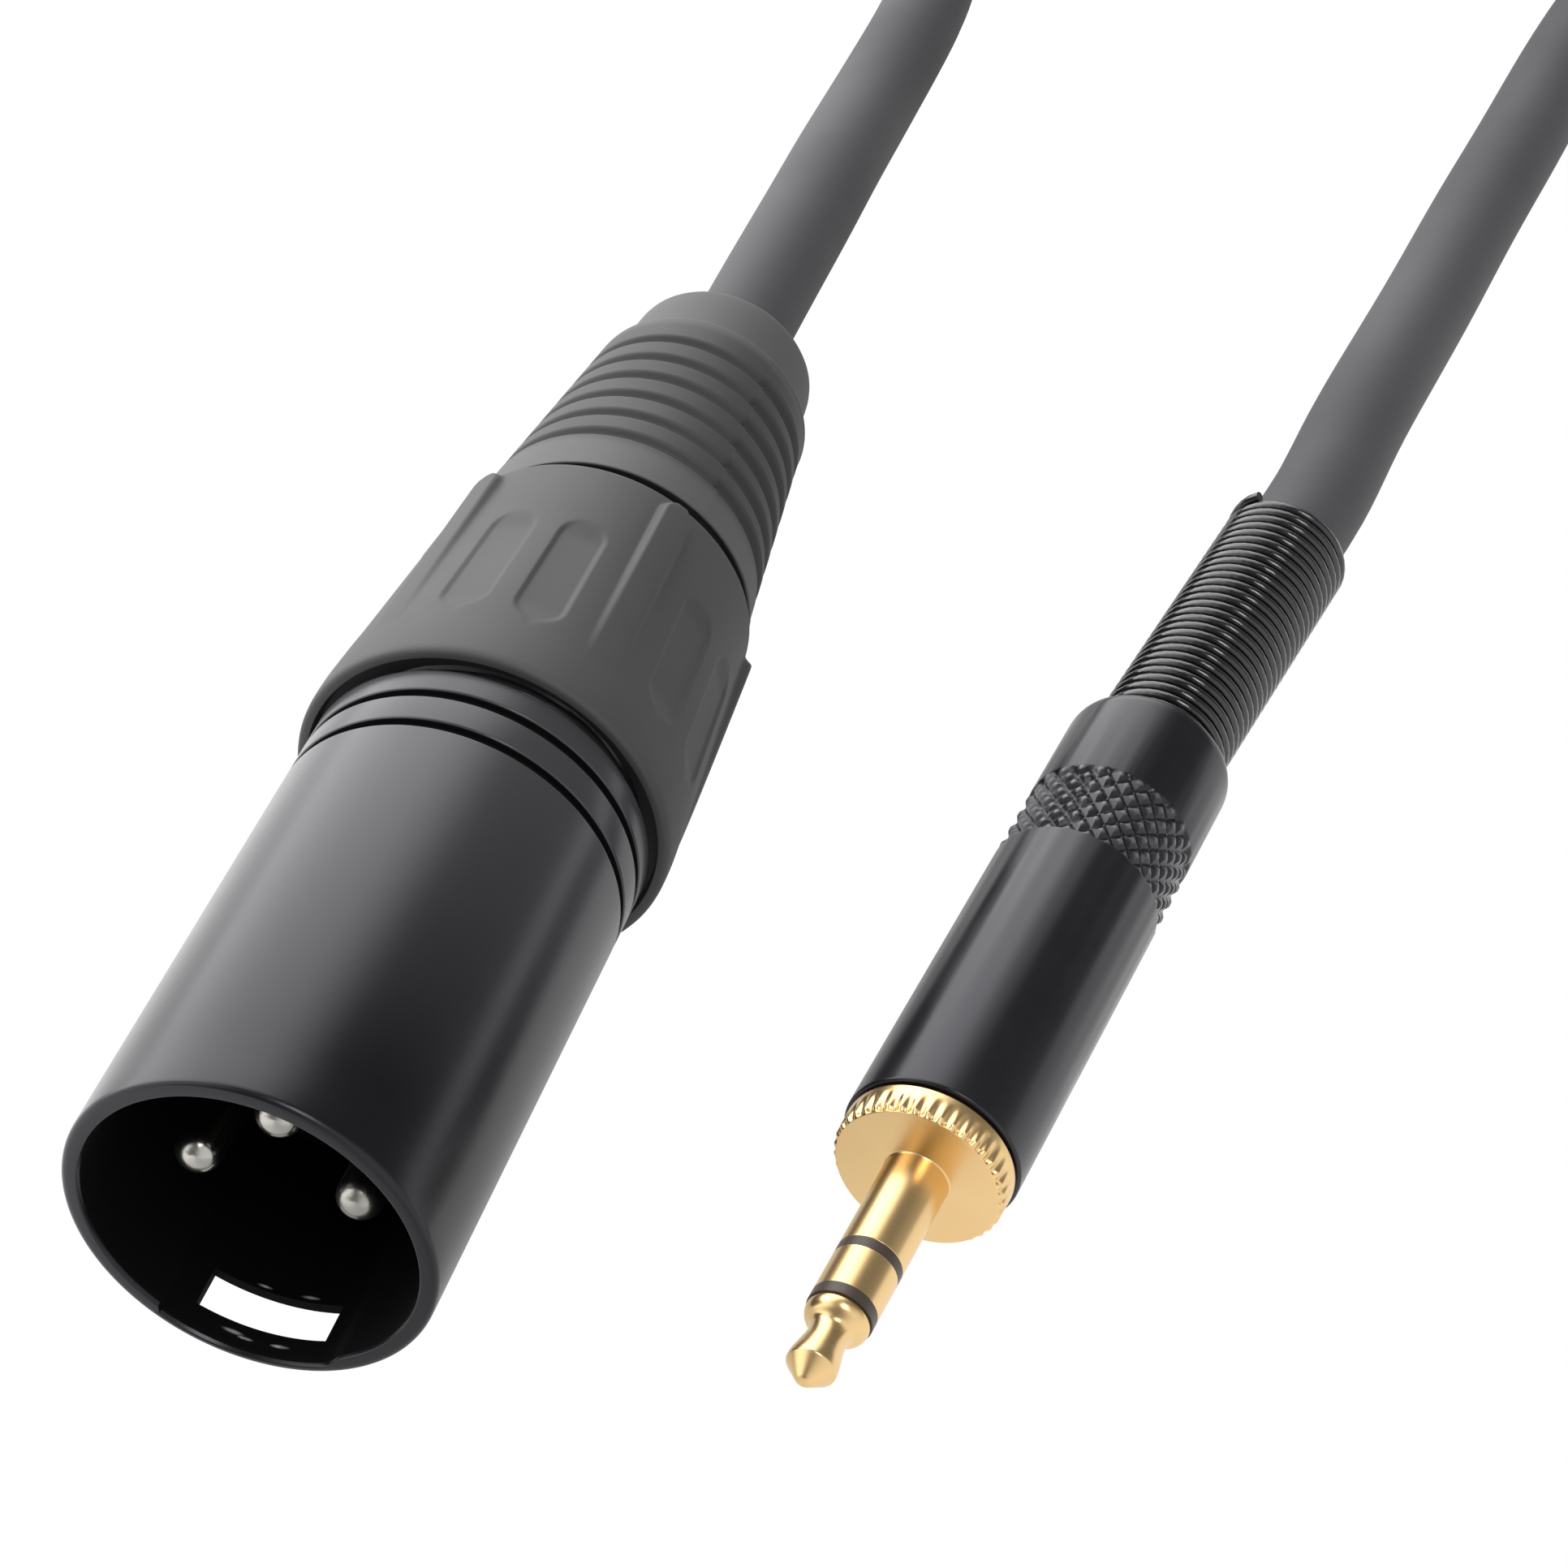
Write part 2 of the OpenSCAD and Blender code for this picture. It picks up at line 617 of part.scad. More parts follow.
// Cutter for the notch between two teeth of the flange
module flange_notch() {
    tilt = atan(tooth_deep / tooth_len);
    bar = tooth_deep * 2;
    translate([flange_r - tooth_deep + bar / sqrt(2) / cos(tilt), 0, flange_front]) rotate([0, tilt, 0])
        rotate([0, 0, 45]) cube([bar, bar, 3 * flange_t], center = true);
}

module jack_sleeve() {
    bevel = 0.1;
    color([0.85, 0.7, 0.42]) on_jack() {
        difference() {
            rotate_extrude() polygon([
                [rear_tube_r + fit_gap, sleeve_front], [jack_pin_r, sleeve_front],
                [jack_pin_r, flange_front], [flange_r - bevel, flange_front],
                [flange_r, flange_front + bevel], [flange_r, flange_rear], [boss_r, flange_rear],
                [boss_r, boss_rear], [lug_room_r, boss_rear], [lug_room_r, lug_floor],
                [rear_tube_r + fit_gap, lug_floor]]);
            for (i = [0 : tooth_count - 1]) rotate([0, 0, i * 360 / tooth_count]) flange_notch();
        }
        difference() {
            tube(tail_r, tail_in_r, boss_rear, tail_rear);
            translate([-tail_r - cut, -tail_r - cut, boss_rear])
                cube([2 * (tail_r + cut), tail_r + cut, tail_len - clamp_len]);
            translate([-cable_r / 2, -tail_r - cut, boss_rear]) cube([cable_r, tail_r, tail_len + cut]);
        }
    }
}

module jack_lug_washers() {
    color([0.55, 0.42, 0.3]) on_jack() {
        tube(lug_disc_r + 0.2, rear_tube_r + fit_gap, lug_floor, ring_lug_front);
        difference() {
            tube(lug_disc_r + 0.2, front_tube_r + fit_gap, ring_lug_rear, tip_lug_front);
            tab_flat();
        }
    }
}

// Flat that lets the ring lug's tab pass the parts behind its disc
module tab_flat() {
    translate([lug_disc_r - lug_t - turn_gap, -lug_disc_r - cut, ring_lug_rear - cut])
        cube([2 * cut, 2 * (lug_disc_r + cut), tip_lug_rear - ring_lug_rear + 2 * cut]);
}

// Solder lug: a disc on the contact stack with a tab bent back
module solder_lug(z0, hole_r) {
    tube(lug_disc_r, hole_r, z0, z0 + lug_t);
    translate([lug_disc_r - lug_t, -lug_w / 2, z0]) cube([lug_t, lug_w, lug_len + lug_t]);
}

module jack_ring_lug() {
    color([0.8, 0.75, 0.6]) on_jack() solder_lug(ring_lug_front, ring_tube_r + fit_gap);
}

module jack_tip_lug() {
    color([0.8, 0.75, 0.6]) on_jack() difference() {
        rotate([0, 0, 180]) solder_lug(tip_lug_front, tip_rod_r + fit_gap);
        tab_flat();
    }
}

module jack_barrel() {
    shoulder = [for (a = [0 : 15 : 90])
        [barrel_r - barrel_round + barrel_round * cos(a), barrel_rear - barrel_round + barrel_round * sin(a)]];
    edge = 0.2;
    knurl_at = barrel_front + knurl_front;
    color([0.1, 0.1, 0.11]) on_jack() rotate_extrude() polygon(concat(
        [[barrel_bore_r, barrel_front], [barrel_r - edge, barrel_front], [barrel_r, barrel_front + edge],
            [barrel_r, knurl_at], [barrel_r + knurl_h, knurl_at + knurl_h],
            [barrel_r + knurl_h, knurl_at + knurl_len - knurl_h], [barrel_r, knurl_at + knurl_len]],
        shoulder,
        [[spring_hole_r, barrel_rear], [spring_hole_r, spring_seat], [barrel_bore_r, spring_seat]]));
}

module jack_liner() {
    color([0.85, 0.85, 0.8]) on_jack() tube(liner_r, liner_in_r, liner_front, liner_front + liner_len);
}

// Half outline of a close-wound spring: one bump for each turn, from z0 back
function spring_bumps(z0, count) = [for (i = [0 : count - 1], a = [-60 : 40 : 60])
    [spring_r - spring_wire / 2 + spring_wire / 2 * cos(a),
        z0 + (i + 0.5) * spring_pitch + spring_wire / 2 * sin(a)]];

module jack_spring() {
    core_r = spring_r - spring_wire / 2;
    wall = core_r - spring_in_r;
    inner_end = spring_front + spring_wire;
    inner_rear = barrel_rear - 2 * face_gap;
    inner_count = floor((inner_rear - inner_end) / spring_pitch);
    outer_count = floor((spring_out - face_gap) / spring_pitch);
    outer_front = spring_out - outer_count * spring_pitch;
    color([0.08, 0.08, 0.085]) on_jack() {
        rotate_extrude() polygon(concat(
            [[spring_in_r, spring_front], [spring_flare_r, spring_front], [spring_flare_r, inner_end],
                [core_r, inner_end]],
            spring_bumps(inner_end, inner_count),
            [[core_r, inner_rear], [core_r - wall / 4, inner_rear],
                [core_r - wall / 4, barrel_rear + 4 * face_gap], [spring_in_r + wall / 4, barrel_rear + 4 * face_gap],
                [spring_in_r + wall / 4, inner_rear], [spring_in_r, inner_rear]]));
        translate([0, 0, barrel_rear]) rotate([0, spring_bend, 0]) rotate_extrude() polygon(concat(
            [[spring_in_r, 0], [core_r, 0]],
            spring_bumps(outer_front, outer_count),
            [[spring_in_r, spring_out]]));
    }
}

// Conductor from the end of the jacket to a solder lug or the clamp shell
module jack_wire(p, q, tint) {
    color(tint) on_jack() strand(p, q, wire_r);
}

jack_wire_back = jack_jacket_front - wire_r - fit_gap;
lug_wire_x = lug_disc_r - lug_t - wire_r - turn_gap;

module jack_wire_shield() {
    jack_wire([0, tail_in_r - wire_r - turn_gap, boss_rear + 2], [0, wire_lay_r, jack_wire_back],
        [0.72, 0.5, 0.3]);
}

module jack_wire_hot() {
    jack_wire([-lug_wire_x, 0, tip_lug_rear + lug_len - 1], [-wire_lay_r, -0.3, jack_wire_back],
        [0.75, 0.12, 0.1]);
}

module jack_wire_cold() {
    jack_wire([lug_wire_x, 0, ring_lug_rear + lug_len - 1], [wire_lay_r, -0.3, jack_wire_back],
        [0.85, 0.85, 0.83]);
}

module jack_jacket_end() {
    color([0.16, 0.16, 0.17]) on_jack() translate([0, 0, jack_jacket_front])
        cylinder(r = cable_r, h = barrel_rear - jack_jacket_front);
}

module cord_xlr_run() {
    color([0.16, 0.16, 0.17]) route_tube(plug_run, cable_r);
}

module cord_jack_run() {
    color([0.16, 0.16, 0.17]) route_tube(jack_run, cable_r);
}

// Outline of the wound coil's cross-section, grown by a margin and lifted off the surface
module coil_outline(margin, lift) {
    inner = coil_in_r - cable_r;
    outer = coil_r + cable_r;
    top = 2 * cable_d;
    translate([0, lift]) {
        for (x = [coil_in_r, coil_r], z = [cable_r, top - cable_r])
            translate([x, z]) circle(r = cable_r + margin);
        translate([inner - margin, cable_r]) square([outer - inner + 2 * margin, top - 2 * cable_r]);
        translate([coil_in_r, -margin]) square([coil_r - coil_in_r, top + 2 * margin]);
    }
}

// Block round the place where the tie holds the coil
module tie_place(w) {
    translate([-w / 2, 0, -cut]) cube([w, 2 * coil_r, 4 * cable_d]);
}

// The turns lift over the tie where it passes under them
module cord_coil() {
    color([0.16, 0.16, 0.17]) translate([coil_x, coil_y, 0]) {
        difference() {
            rotate_extrude() coil_outline(0, 0);
            tie_place(tie_w);
        }
        intersection() {
            rotate_extrude() coil_outline(0, tie_t);
            tie_place(tie_w + face_gap);
        }
    }
}

module coil_tie() {
    color([0.05, 0.05, 0.05]) translate([coil_x, coil_y, 0]) intersection() {
        rotate_extrude() difference() {
            coil_outline(tie_t, tie_t);
            coil_outline(0, tie_t);
        }
        tie_place(tie_w - face_gap);
    }
}

xlr_shell();
xlr_insert();
xlr_pin_1();
xlr_pin_2();
xlr_pin_3();
xlr_ground_contact();
xlr_chuck();
xlr_back_nut();
xlr_boot();
xlr_wire_shield();
xlr_wire_hot();
xlr_wire_cold();
xlr_jacket_end();
jack_tip();
jack_front_insulator();
jack_ring();
jack_rear_insulator();
jack_sleeve();
jack_lug_washers();
jack_ring_lug();
jack_tip_lug();
jack_barrel();
jack_liner();
jack_spring();
jack_wire_shield();
jack_wire_hot();
jack_wire_cold();
jack_jacket_end();
cord_xlr_run();
cord_coil();
cord_jack_run();
coil_tie();
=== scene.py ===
from math import radians, sin, cos, pi
import bmesh
import bpy
import numpy as np
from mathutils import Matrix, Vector


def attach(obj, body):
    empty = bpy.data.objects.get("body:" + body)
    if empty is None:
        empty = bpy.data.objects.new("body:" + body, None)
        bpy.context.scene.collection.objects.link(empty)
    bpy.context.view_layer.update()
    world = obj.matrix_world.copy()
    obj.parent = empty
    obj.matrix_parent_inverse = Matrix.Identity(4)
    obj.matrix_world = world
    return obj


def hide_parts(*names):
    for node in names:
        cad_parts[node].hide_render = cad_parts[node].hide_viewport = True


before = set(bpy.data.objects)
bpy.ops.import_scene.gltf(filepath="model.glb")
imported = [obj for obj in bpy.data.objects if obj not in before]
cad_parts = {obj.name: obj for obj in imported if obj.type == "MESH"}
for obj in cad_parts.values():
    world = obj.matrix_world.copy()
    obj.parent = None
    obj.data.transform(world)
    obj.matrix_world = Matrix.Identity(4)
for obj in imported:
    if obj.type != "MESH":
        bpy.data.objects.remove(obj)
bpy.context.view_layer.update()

mm = 0.001  # all shapes are worked out in millimetres and scaled when they become a mesh

# where the two plugs lie: each axis runs back from the plug's front, and side points to its right
plugLength = 74.3
axisHeight = 10.5
jackTurn = radians(6.3)
springBend = radians(2.9)
barrelRear = 49.3
springOut = 21.7
worldUp = np.array([0.0, 0.0, 1.0])
plugAxis = {"origin": np.array([0.0, -plugLength / 2, axisHeight]),
            "back": np.array([0.0, 1.0, 0.0]),
            "side": np.array([1.0, 0.0, 0.0])}
jackAxis = {"origin": np.array([26.4, -33.7, 4.85]),
            "back": np.array([sin(jackTurn), cos(jackTurn), 0.0]),
            "side": np.array([cos(jackTurn), -sin(jackTurn), 0.0])}
springAxis = {"origin": jackAxis["origin"] + barrelRear * jackAxis["back"],
              "back": np.array([sin(jackTurn + springBend), cos(jackTurn + springBend), 0.0]),
              "side": np.array([cos(jackTurn + springBend), -sin(jackTurn + springBend), 0.0])}

# camera: focal length and picture width in pixels, sensor width in mm, its place and near limit in metres
view = {"focal": 5000, "wide": 1932, "sensor": 36, "tilt": radians(40.9), "turn": radians(17.0), "near": 0.01,
        "place": (0.062618, -0.155088, 0.152103)}


def makeCamera():
    data = bpy.data.cameras.new("camera")
    data.lens = view["focal"] / view["wide"] * view["sensor"]
    data.sensor_width = view["sensor"]
    data.clip_start = view["near"]
    camera = bpy.data.objects.new("camera", data)
    bpy.context.scene.collection.objects.link(camera)
    tilt, turn = view["tilt"], view["turn"]
    ahead = Vector((-sin(turn) * cos(tilt), cos(turn) * cos(tilt), -sin(tilt)))
    camera.location = view["place"]
    camera.rotation_mode = "QUATERNION"
    camera.rotation_quaternion = ahead.to_track_quat("-Z", "Y")
    bpy.context.scene.camera = camera


makeCamera()
print("camera placed")


# helpers for points and meshes
def unit(v):
    return v / np.linalg.norm(v, axis=-1, keepdims=True)


def smoothStep(x, a, b):  # 0 below a, 1 above b
    t = np.clip((x - a) / (b - a), 0.0, 1.0)
    return t * t * (3 - 2 * t)


def ringAngles(count, start=0.0):
    return start + np.arange(count) * 2 * pi / count


def axisPoints(axis, z, r, phi):  # z along the axis, r out from it; phi 0 is up, + towards the axis's side
    z, r, phi = np.broadcast_arrays(z, r, phi)
    return (axis["origin"] + z[..., None] * axis["back"]
            + (r * np.sin(phi))[..., None] * axis["side"] + (r * np.cos(phi))[..., None] * worldUp)


def makeObject(name, verts, faces, sharp):  # edges steeper than sharp, in degrees, stay crisp
    mesh = bpy.data.meshes.new(name)
    mesh.from_pydata((verts * mm).tolist(), [], [f for group in faces for f in group.tolist()])
    mesh.update()
    mesh.polygons.foreach_set("use_smooth", np.ones(len(mesh.polygons), bool))
    mesh.set_sharp_from_angle(angle=radians(sharp))
    piece = bpy.data.objects.new(name, mesh)
    bpy.context.scene.collection.objects.link(piece)
    return piece


def gridFaces(rows, cols, wrapRows, wrapCols, flip=False):  # quads of a grid of points, closed where it wraps
    i = np.arange(rows if wrapRows else rows - 1)[:, None]
    j = np.arange(cols if wrapCols else cols - 1)[None, :]
    a, b = i * cols + j, i * cols + (j + 1) % cols
    c, d = ((i + 1) % rows) * cols + (j + 1) % cols, ((i + 1) % rows) * cols + j
    quads = np.stack(np.broadcast_arrays(a, b, c, d), -1)
    return quads[..., ::-1] if flip else quads


def roundedProfile(corners, steps=4):
    # corners are (z, r, fillet); each fillet is a parabola between its two tangent points
    points = []
    count = len(corners)
    for i, (z, r, fillet) in enumerate(corners):
        here = np.array([z, r])
        if fillet == 0:
            points.append(here)
            continue
        before = np.array(corners[i - 1][:2]) - here
        after = np.array(corners[(i + 1) % count][:2]) - here
        start = here + unit(before) * min(fillet, 0.49 * np.linalg.norm(before))
        end = here + unit(after) * min(fillet, 0.49 * np.linalg.norm(after))
        for t in np.linspace(0, 1, steps + 1):
            points.append((1 - t) ** 2 * start + 2 * t * (1 - t) * here + t * t * end)
    return np.array(points)


def refined(profile, z0, z1, step):  # splits the edges that reach between z0 and z1, to lengths of at most step
    out = []
    for a, b in zip(profile, np.roll(profile, -1, axis=0)):
        inside = min(a[0], b[0]) < z1 and max(a[0], b[0]) > z0
        parts = max(1, int(np.ceil(np.linalg.norm(b - a) / step))) if inside else 1
        out.extend(a + (b - a) * k / parts for k in range(parts))
    return np.array(out)


def lathe(name, axis, profile, phi, shape=None, sharp=40):
    # a closed profile turned about the axis; shape(z, r, phi) gives the radius with its relief
    z, r = profile[:, 0:1], profile[:, 1:2]
    radius = shape(z, r, phi[None, :]) if shape else r + 0 * phi[None, :]
    points = axisPoints(axis, z + 0 * phi[None, :], radius, phi[None, :])
    nextZ, nextR = np.roll(z, -1), np.roll(r, -1)
    flip = float(np.sum(z * nextR - nextZ * r)) > 0  # so that the faces point outwards
    rows, cols = radius.shape
    quads = gridFaces(rows, cols, True, True, flip).reshape(-1, 4)
    return makeObject(name, points.reshape(-1, 3), [quads], sharp)


def tube(name, path, outward, across, radius, sides):
    # a circle carried along a path, each ring in the plane of outward and across, its two ends capped
    around = ringAngles(sides)[None, :, None]
    points = path[:, None] + radius * (np.cos(around) * outward[:, None] + np.sin(around) * across[:, None])
    rows = len(path)
    quads = gridFaces(rows, sides, False, True).reshape(-1, 4)
    caps = [np.arange(sides)[None, ::-1], (rows - 1) * sides + np.arange(sides)[None, :]]
    return makeObject(name, points.reshape(-1, 3), [quads] + caps, 60)


def markPoints(piece, name, values):  # one value for each point, for a material to read
    attribute = piece.data.attributes.new(name, "FLOAT", "POINT")
    attribute.data.foreach_set("value", np.ravel(values).astype(np.float32))


def weld(piece):  # joins the points that fall together at a pole
    mesh = bmesh.new()
    mesh.from_mesh(piece.data)
    bmesh.ops.remove_doubles(mesh, verts=mesh.verts, dist=1e-7)
    mesh.to_mesh(piece.data)
    mesh.free()


# cable: the same route as in the part's source
cable = {"diameter": 6.0, "sides": 28, "step": 1.6, "fine": 4}
coil = {"centre": np.array([19.0, 158.0]), "outer": 40.0, "turns": 3.25, "perTurn": 48, "climb": (-0.1, 0.14),
        "lift": 0.8, "liftWide": (7, 17)}
plugRun = np.array([[0, 36.4, 10.5], [0, 43, 10.5], [0, 49, 10.4], [-0.2, 56, 9.8], [-0.7, 64, 8.6],
                    [-1.3, 72, 7], [-1.9, 80, 5.4], [-2.4, 88, 4.1], [-3, 96, 3.3], [-4.5, 104, 3],
                    [-7.6, 112, 3], [-11.9, 120.5, 3], [-16.4, 130, 3], [-19.4, 139.6, 3], [-20.7, 149, 3]])
springEnd = springAxis["origin"] + springOut * springAxis["back"]
jackRun = np.array([[58.7, 150.2, 8.9], [57.4, 142.4, 8.3], [54.8, 134.6, 7], [51.3, 127.3, 5.4],
                    [47.7, 120.4, 4.1], [44.9, 113.5, 3.2], [43.2, 106, 3], [42, 98, 3], [40.8, 88, 3],
                    [39.6, 78, 3.2], [38.5, 67, 3.6], [37.4, 56, 4.4], [36.7, 49, 4.7],
                    springEnd + 5 * springAxis["back"], springEnd, springAxis["origin"] + springAxis["back"]])


def coilPath():
    # two flat spirals, the lower one winding in and the upper one out, joined by a climb at the innermost turn
    pitch, turns = cable["diameter"], coil["turns"]
    inner = coil["outer"] - turns * pitch
    down = np.linspace(0, turns, int(turns * coil["perTurn"]))
    radius = np.concatenate([coil["outer"] - pitch * down, inner + pitch * down[1:]])
    turned = np.concatenate([down, turns + down[1:]])
    angle = pi - turned * 2 * pi
    rise = smoothStep(turned, turns + coil["climb"][0], turns + coil["climb"][1])
    height = pitch / 2 + pitch * rise
    x = coil["centre"][0] + radius * np.cos(angle)
    y = coil["centre"][1] + radius * np.sin(angle)
    overTie = (1 - smoothStep(np.abs(x - coil["centre"][0]), *coil["liftWide"])) * (y > coil["centre"][1])
    return np.stack([x, y, height + coil["lift"] * overTie], -1)


def splineThrough(points, step):
    # a natural cubic spline over chord length through the points, then even steps along it
    chord = np.concatenate([[0], np.cumsum(np.linalg.norm(np.diff(points, axis=0), axis=1))])
    n = len(points)
    h = np.diff(chord)
    system = np.zeros((n, n))
    system[0, 0] = system[-1, -1] = 1
    i = np.arange(1, n - 1)
    system[i, i - 1], system[i, i], system[i, i + 1] = h[:-1], 2 * (h[:-1] + h[1:]), h[1:]
    slope = np.diff(points, axis=0) / h[:, None]
    right = np.zeros_like(points)
    right[1:-1] = 3 * np.diff(slope, axis=0)
    bend = np.linalg.solve(system, right)
    at = np.linspace(0, chord[-1], int(chord[-1] * cable["fine"]))
    k = np.clip(np.searchsorted(chord, at, side="right") - 1, 0, n - 2)
    t = (at - chord[k])[:, None]
    hk = h[k][:, None]
    b = slope[k] - hk * (2 * bend[k] + bend[k + 1]) / 3
    d = (bend[k + 1] - bend[k]) / (3 * hk)
    curve = points[k] + b * t + bend[k] * t ** 2 + d * t ** 3
    along = np.concatenate([[0], np.cumsum(np.linalg.norm(np.diff(curve, axis=0), axis=1))])
    even = np.linspace(0, along[-1], max(2, int(along[-1] / step)))
    return np.stack([np.interp(even, along, curve[:, a]) for a in range(3)], -1), along[-1]


def makeCable():
    # a circle carried along the route, each ring square to it
    path, length = splineThrough(np.concatenate([plugRun, coilPath(), jackRun]), cable["step"])
    tangent = unit(np.gradient(path, axis=0))
    side = unit(np.cross(tangent, worldUp))
    piece = tube("cable", path, side, np.cross(side, tangent), cable["diameter"] / 2, cable["sides"])
    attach(piece, "lead")
    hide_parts("cord_xlr_run", "cord_coil", "cord_jack_run")
    return piece, path, length


cableObject, cablePath, cableLength = makeCable()
print("cable laid, mm:", round(cableLength, 1))

# locking plug: shell. Turns are degrees round the axis, and pairs are stations along it
shell = {"outer": 9.6, "mouth": 8.6, "rear": 7.5, "crest": 8.55, "shoulder": 31.4, "end": 39.6, "step": 27.4,
         "rimRound": 0.42, "grooves": (26.75, 29.15), "grooveWide": 0.6, "grooveDeep": 0.4,
         "threadDeep": 0.33, "threadPitch": 1.0, "threadStep": 0.09,
         "window": (1.65, 4.05), "windowTurn": 185.0, "windowHalf": 3.4, "windowFade": (0.5, 6), "windowWide": 60,
         "keyTurn": 187.5, "keyHalf": 3.9, "keyDeep": 0.42, "keyEnd": 14.0, "keySoft": 2.2, "keyFade": 4,
         "paintedSheen": (23.6, 25.6), "lines": 168, "firstLine": 0.37, "lineGap": 0.6}


def shellProfile():
    s = shell
    w0, w1 = s["window"]
    outer, mouth = s["outer"], s["mouth"]
    corners = [(0, outer, s["rimRound"]), (w0, outer, 0), (w1, outer, 0)]
    for z in s["grooves"]:
        floor = outer - s["grooveDeep"]
        corners += [(z, outer, 0.09), (z + 0.06, floor, 0.05), (z + s["grooveWide"] - 0.1, floor, 0.1),
                    (z + s["grooveWide"], outer, 0.12)]
    corners += [(s["shoulder"], outer, 0.25), (s["shoulder"], s["crest"], 0), (s["end"], s["crest"], 0.2),
                (s["end"], s["rear"], 0.1), (s["step"], s["rear"], 0), (s["step"], mouth, 0),
                (s["keyEnd"] + 0.3, mouth, 0), (s["keyEnd"], mouth, 0), (w1, mouth, 0), (w0, mouth, 0),
                (0.3, mouth, 0.1), (0, mouth + 0.12, 0.08)]
    return refined(roundedProfile(corners, 6), s["shoulder"] + 0.3, s["end"] - 0.3, s["threadStep"])


def makeShell():
    # the profile turned about the axis; its radius falls in a triangle wave along a helix for the thread and grows
    # in the key groove, and the faces between the window's four lines are left out and walled
    s = shell
    w0, w1 = s["window"]
    profile = shellProfile()
    windowMid, windowEdge = radians(s["windowTurn"]), np.arcsin(s["windowHalf"] / s["outer"])
    keyMid, keyEdge, keySoft = radians(s["keyTurn"]), np.arcsin(s["keyHalf"] / s["mouth"]), radians(s["keySoft"])
    marks = [windowMid - windowEdge, windowMid + windowEdge, keyMid + keyEdge, keyMid + keyEdge + keySoft]
    phi = np.concatenate([ringAngles(s["lines"], radians(s["firstLine"])), marks])
    phi = phi[np.argsort(phi)]
    far = np.min(np.abs(phi[:, None] - np.array(marks)), axis=1)
    phi = phi[(far < 1e-9) | (far > radians(s["lineGap"]))]  # no plain line crowds one of the marks

    z, r = profile[:, 0:1], profile[:, 1:2]
    inKey = (np.abs(r - s["mouth"]) < 0.25) & (z < s["keyEnd"] + 0.1)
    fromKey = phi - keyMid
    groove = ((1 - smoothStep(fromKey, keyEdge, keyEdge + keySoft))
              * smoothStep(fromKey, -keyEdge - s["keyFade"] * keySoft, -keyEdge))
    wave = np.abs(((z / s["threadPitch"] - phi / (2 * pi)) % 1.0) * 2 - 1)
    onThread = (z > s["shoulder"] + 0.6) & (z < s["end"] - 0.4) & (np.abs(r - s["crest"]) < 0.05)
    thread = onThread * s["threadDeep"] * smoothStep(wave, 0.2, 0.8)
    radius = r - thread + inKey * s["keyDeep"] * groove

    # near the window the lines close in or spread, so that its two sides stay parallel from skin to skin
    wide = radians(s["windowWide"])
    turned = np.empty_like(radius)
    for i, (zRow, rRow) in enumerate(profile):
        skin = rRow + (s["keyDeep"] if inKey[i, 0] else 0)
        near = 1 - smoothStep(zRow, w1 + s["windowFade"][0], w1 + s["windowFade"][1])
        edge = windowEdge + (np.arcsin(s["windowHalf"] / skin) - windowEdge) * near
        turned[i] = windowMid + np.interp(phi - windowMid, [-pi - 1, -wide, -windowEdge, windowEdge, wide, pi + 1],
                                          [-pi - 1, -wide, -edge, edge, wide, pi + 1])
    points = axisPoints(plugAxis, z + 0 * turned, radius, turned)
    rows, cols = radius.shape
    quads = gridFaces(rows, cols, True, True, True)

    def rowOf(station, inner):  # the profile's row at a station, on the inner or the outer skin
        wrongSkin = (profile[:, 1] < (s["mouth"] + s["outer"]) / 2) != inner
        return int(np.argmin(np.abs(profile[:, 0] - station) + 10 * wrongSkin))

    def at(row, line):  # a point's number in the grid
        return row * cols + line

    a, b, c, d = rowOf(w0, False), rowOf(w1, False), rowOf(w1, True), rowOf(w0, True)
    j0, j1 = (int(np.argmin(np.abs(phi - windowMid - side * windowEdge))) for side in (-1, 1))
    keep = np.ones(quads.shape[:2], bool)
    keep[a:b, j0:j1] = False
    keep[c:d, j0:j1] = False
    j = np.arange(j0, j1)
    walls = [np.stack([at(a, j), at(a, j + 1), at(d, j + 1), at(d, j)], -1)[:, ::-1],
             np.stack([at(b, j), at(b, j + 1), at(c, j + 1), at(c, j)], -1),
             np.array([[at(a, j0), at(b, j0), at(c, j0), at(d, j0)]])[:, ::-1],
             np.array([[at(a, j1), at(b, j1), at(c, j1), at(d, j1)]])]
    piece = makeObject("shellSkin", points.reshape(-1, 3), [quads[keep]] + walls, 35)
    # painted sheen: the shell's rear band, from just before the two grooves back, is painted a lighter grey
    markPoints(piece, "paintedSheen", np.repeat(smoothStep(profile[:, 0], *s["paintedSheen"]), cols))

    # the mouth, the window's walls and the floors of the two grooves have the second material, a flat black with
    # little shine: painted shade in these hollows
    station, reach = profile[:, 0], profile[:, 1]
    inMouth = (reach < s["mouth"] + 0.05) & (station > 0.12) & (station < s["step"] + 0.1)
    inGroove = (reach < s["outer"] - 0.06) & (station > s["grooves"][0] - 1) & (station < s["shoulder"] - 0.5)
    within = inMouth | inGroove
    dark = np.broadcast_to((within & np.roll(within, -1))[:, None], quads.shape[:2])[keep]
    second = np.concatenate([dark, np.ones(sum(map(len, walls)), bool)])
    piece.data.polygons.foreach_set("material_index", second.astype(int))
    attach(piece, "lead")
    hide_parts("xlr_shell")
    return piece


shellObject = makeShell()

# locking plug: contacts
contact = {"tip": 3.0, "radius": 1.19, "dome": 1.05, "held": 1.35, "front": 18.4, "rear": 31, "cup": 1.5,
           "cupBore": 1.0, "cupLength": 5.0, "cupFloor": 1.0, "lines": 48}


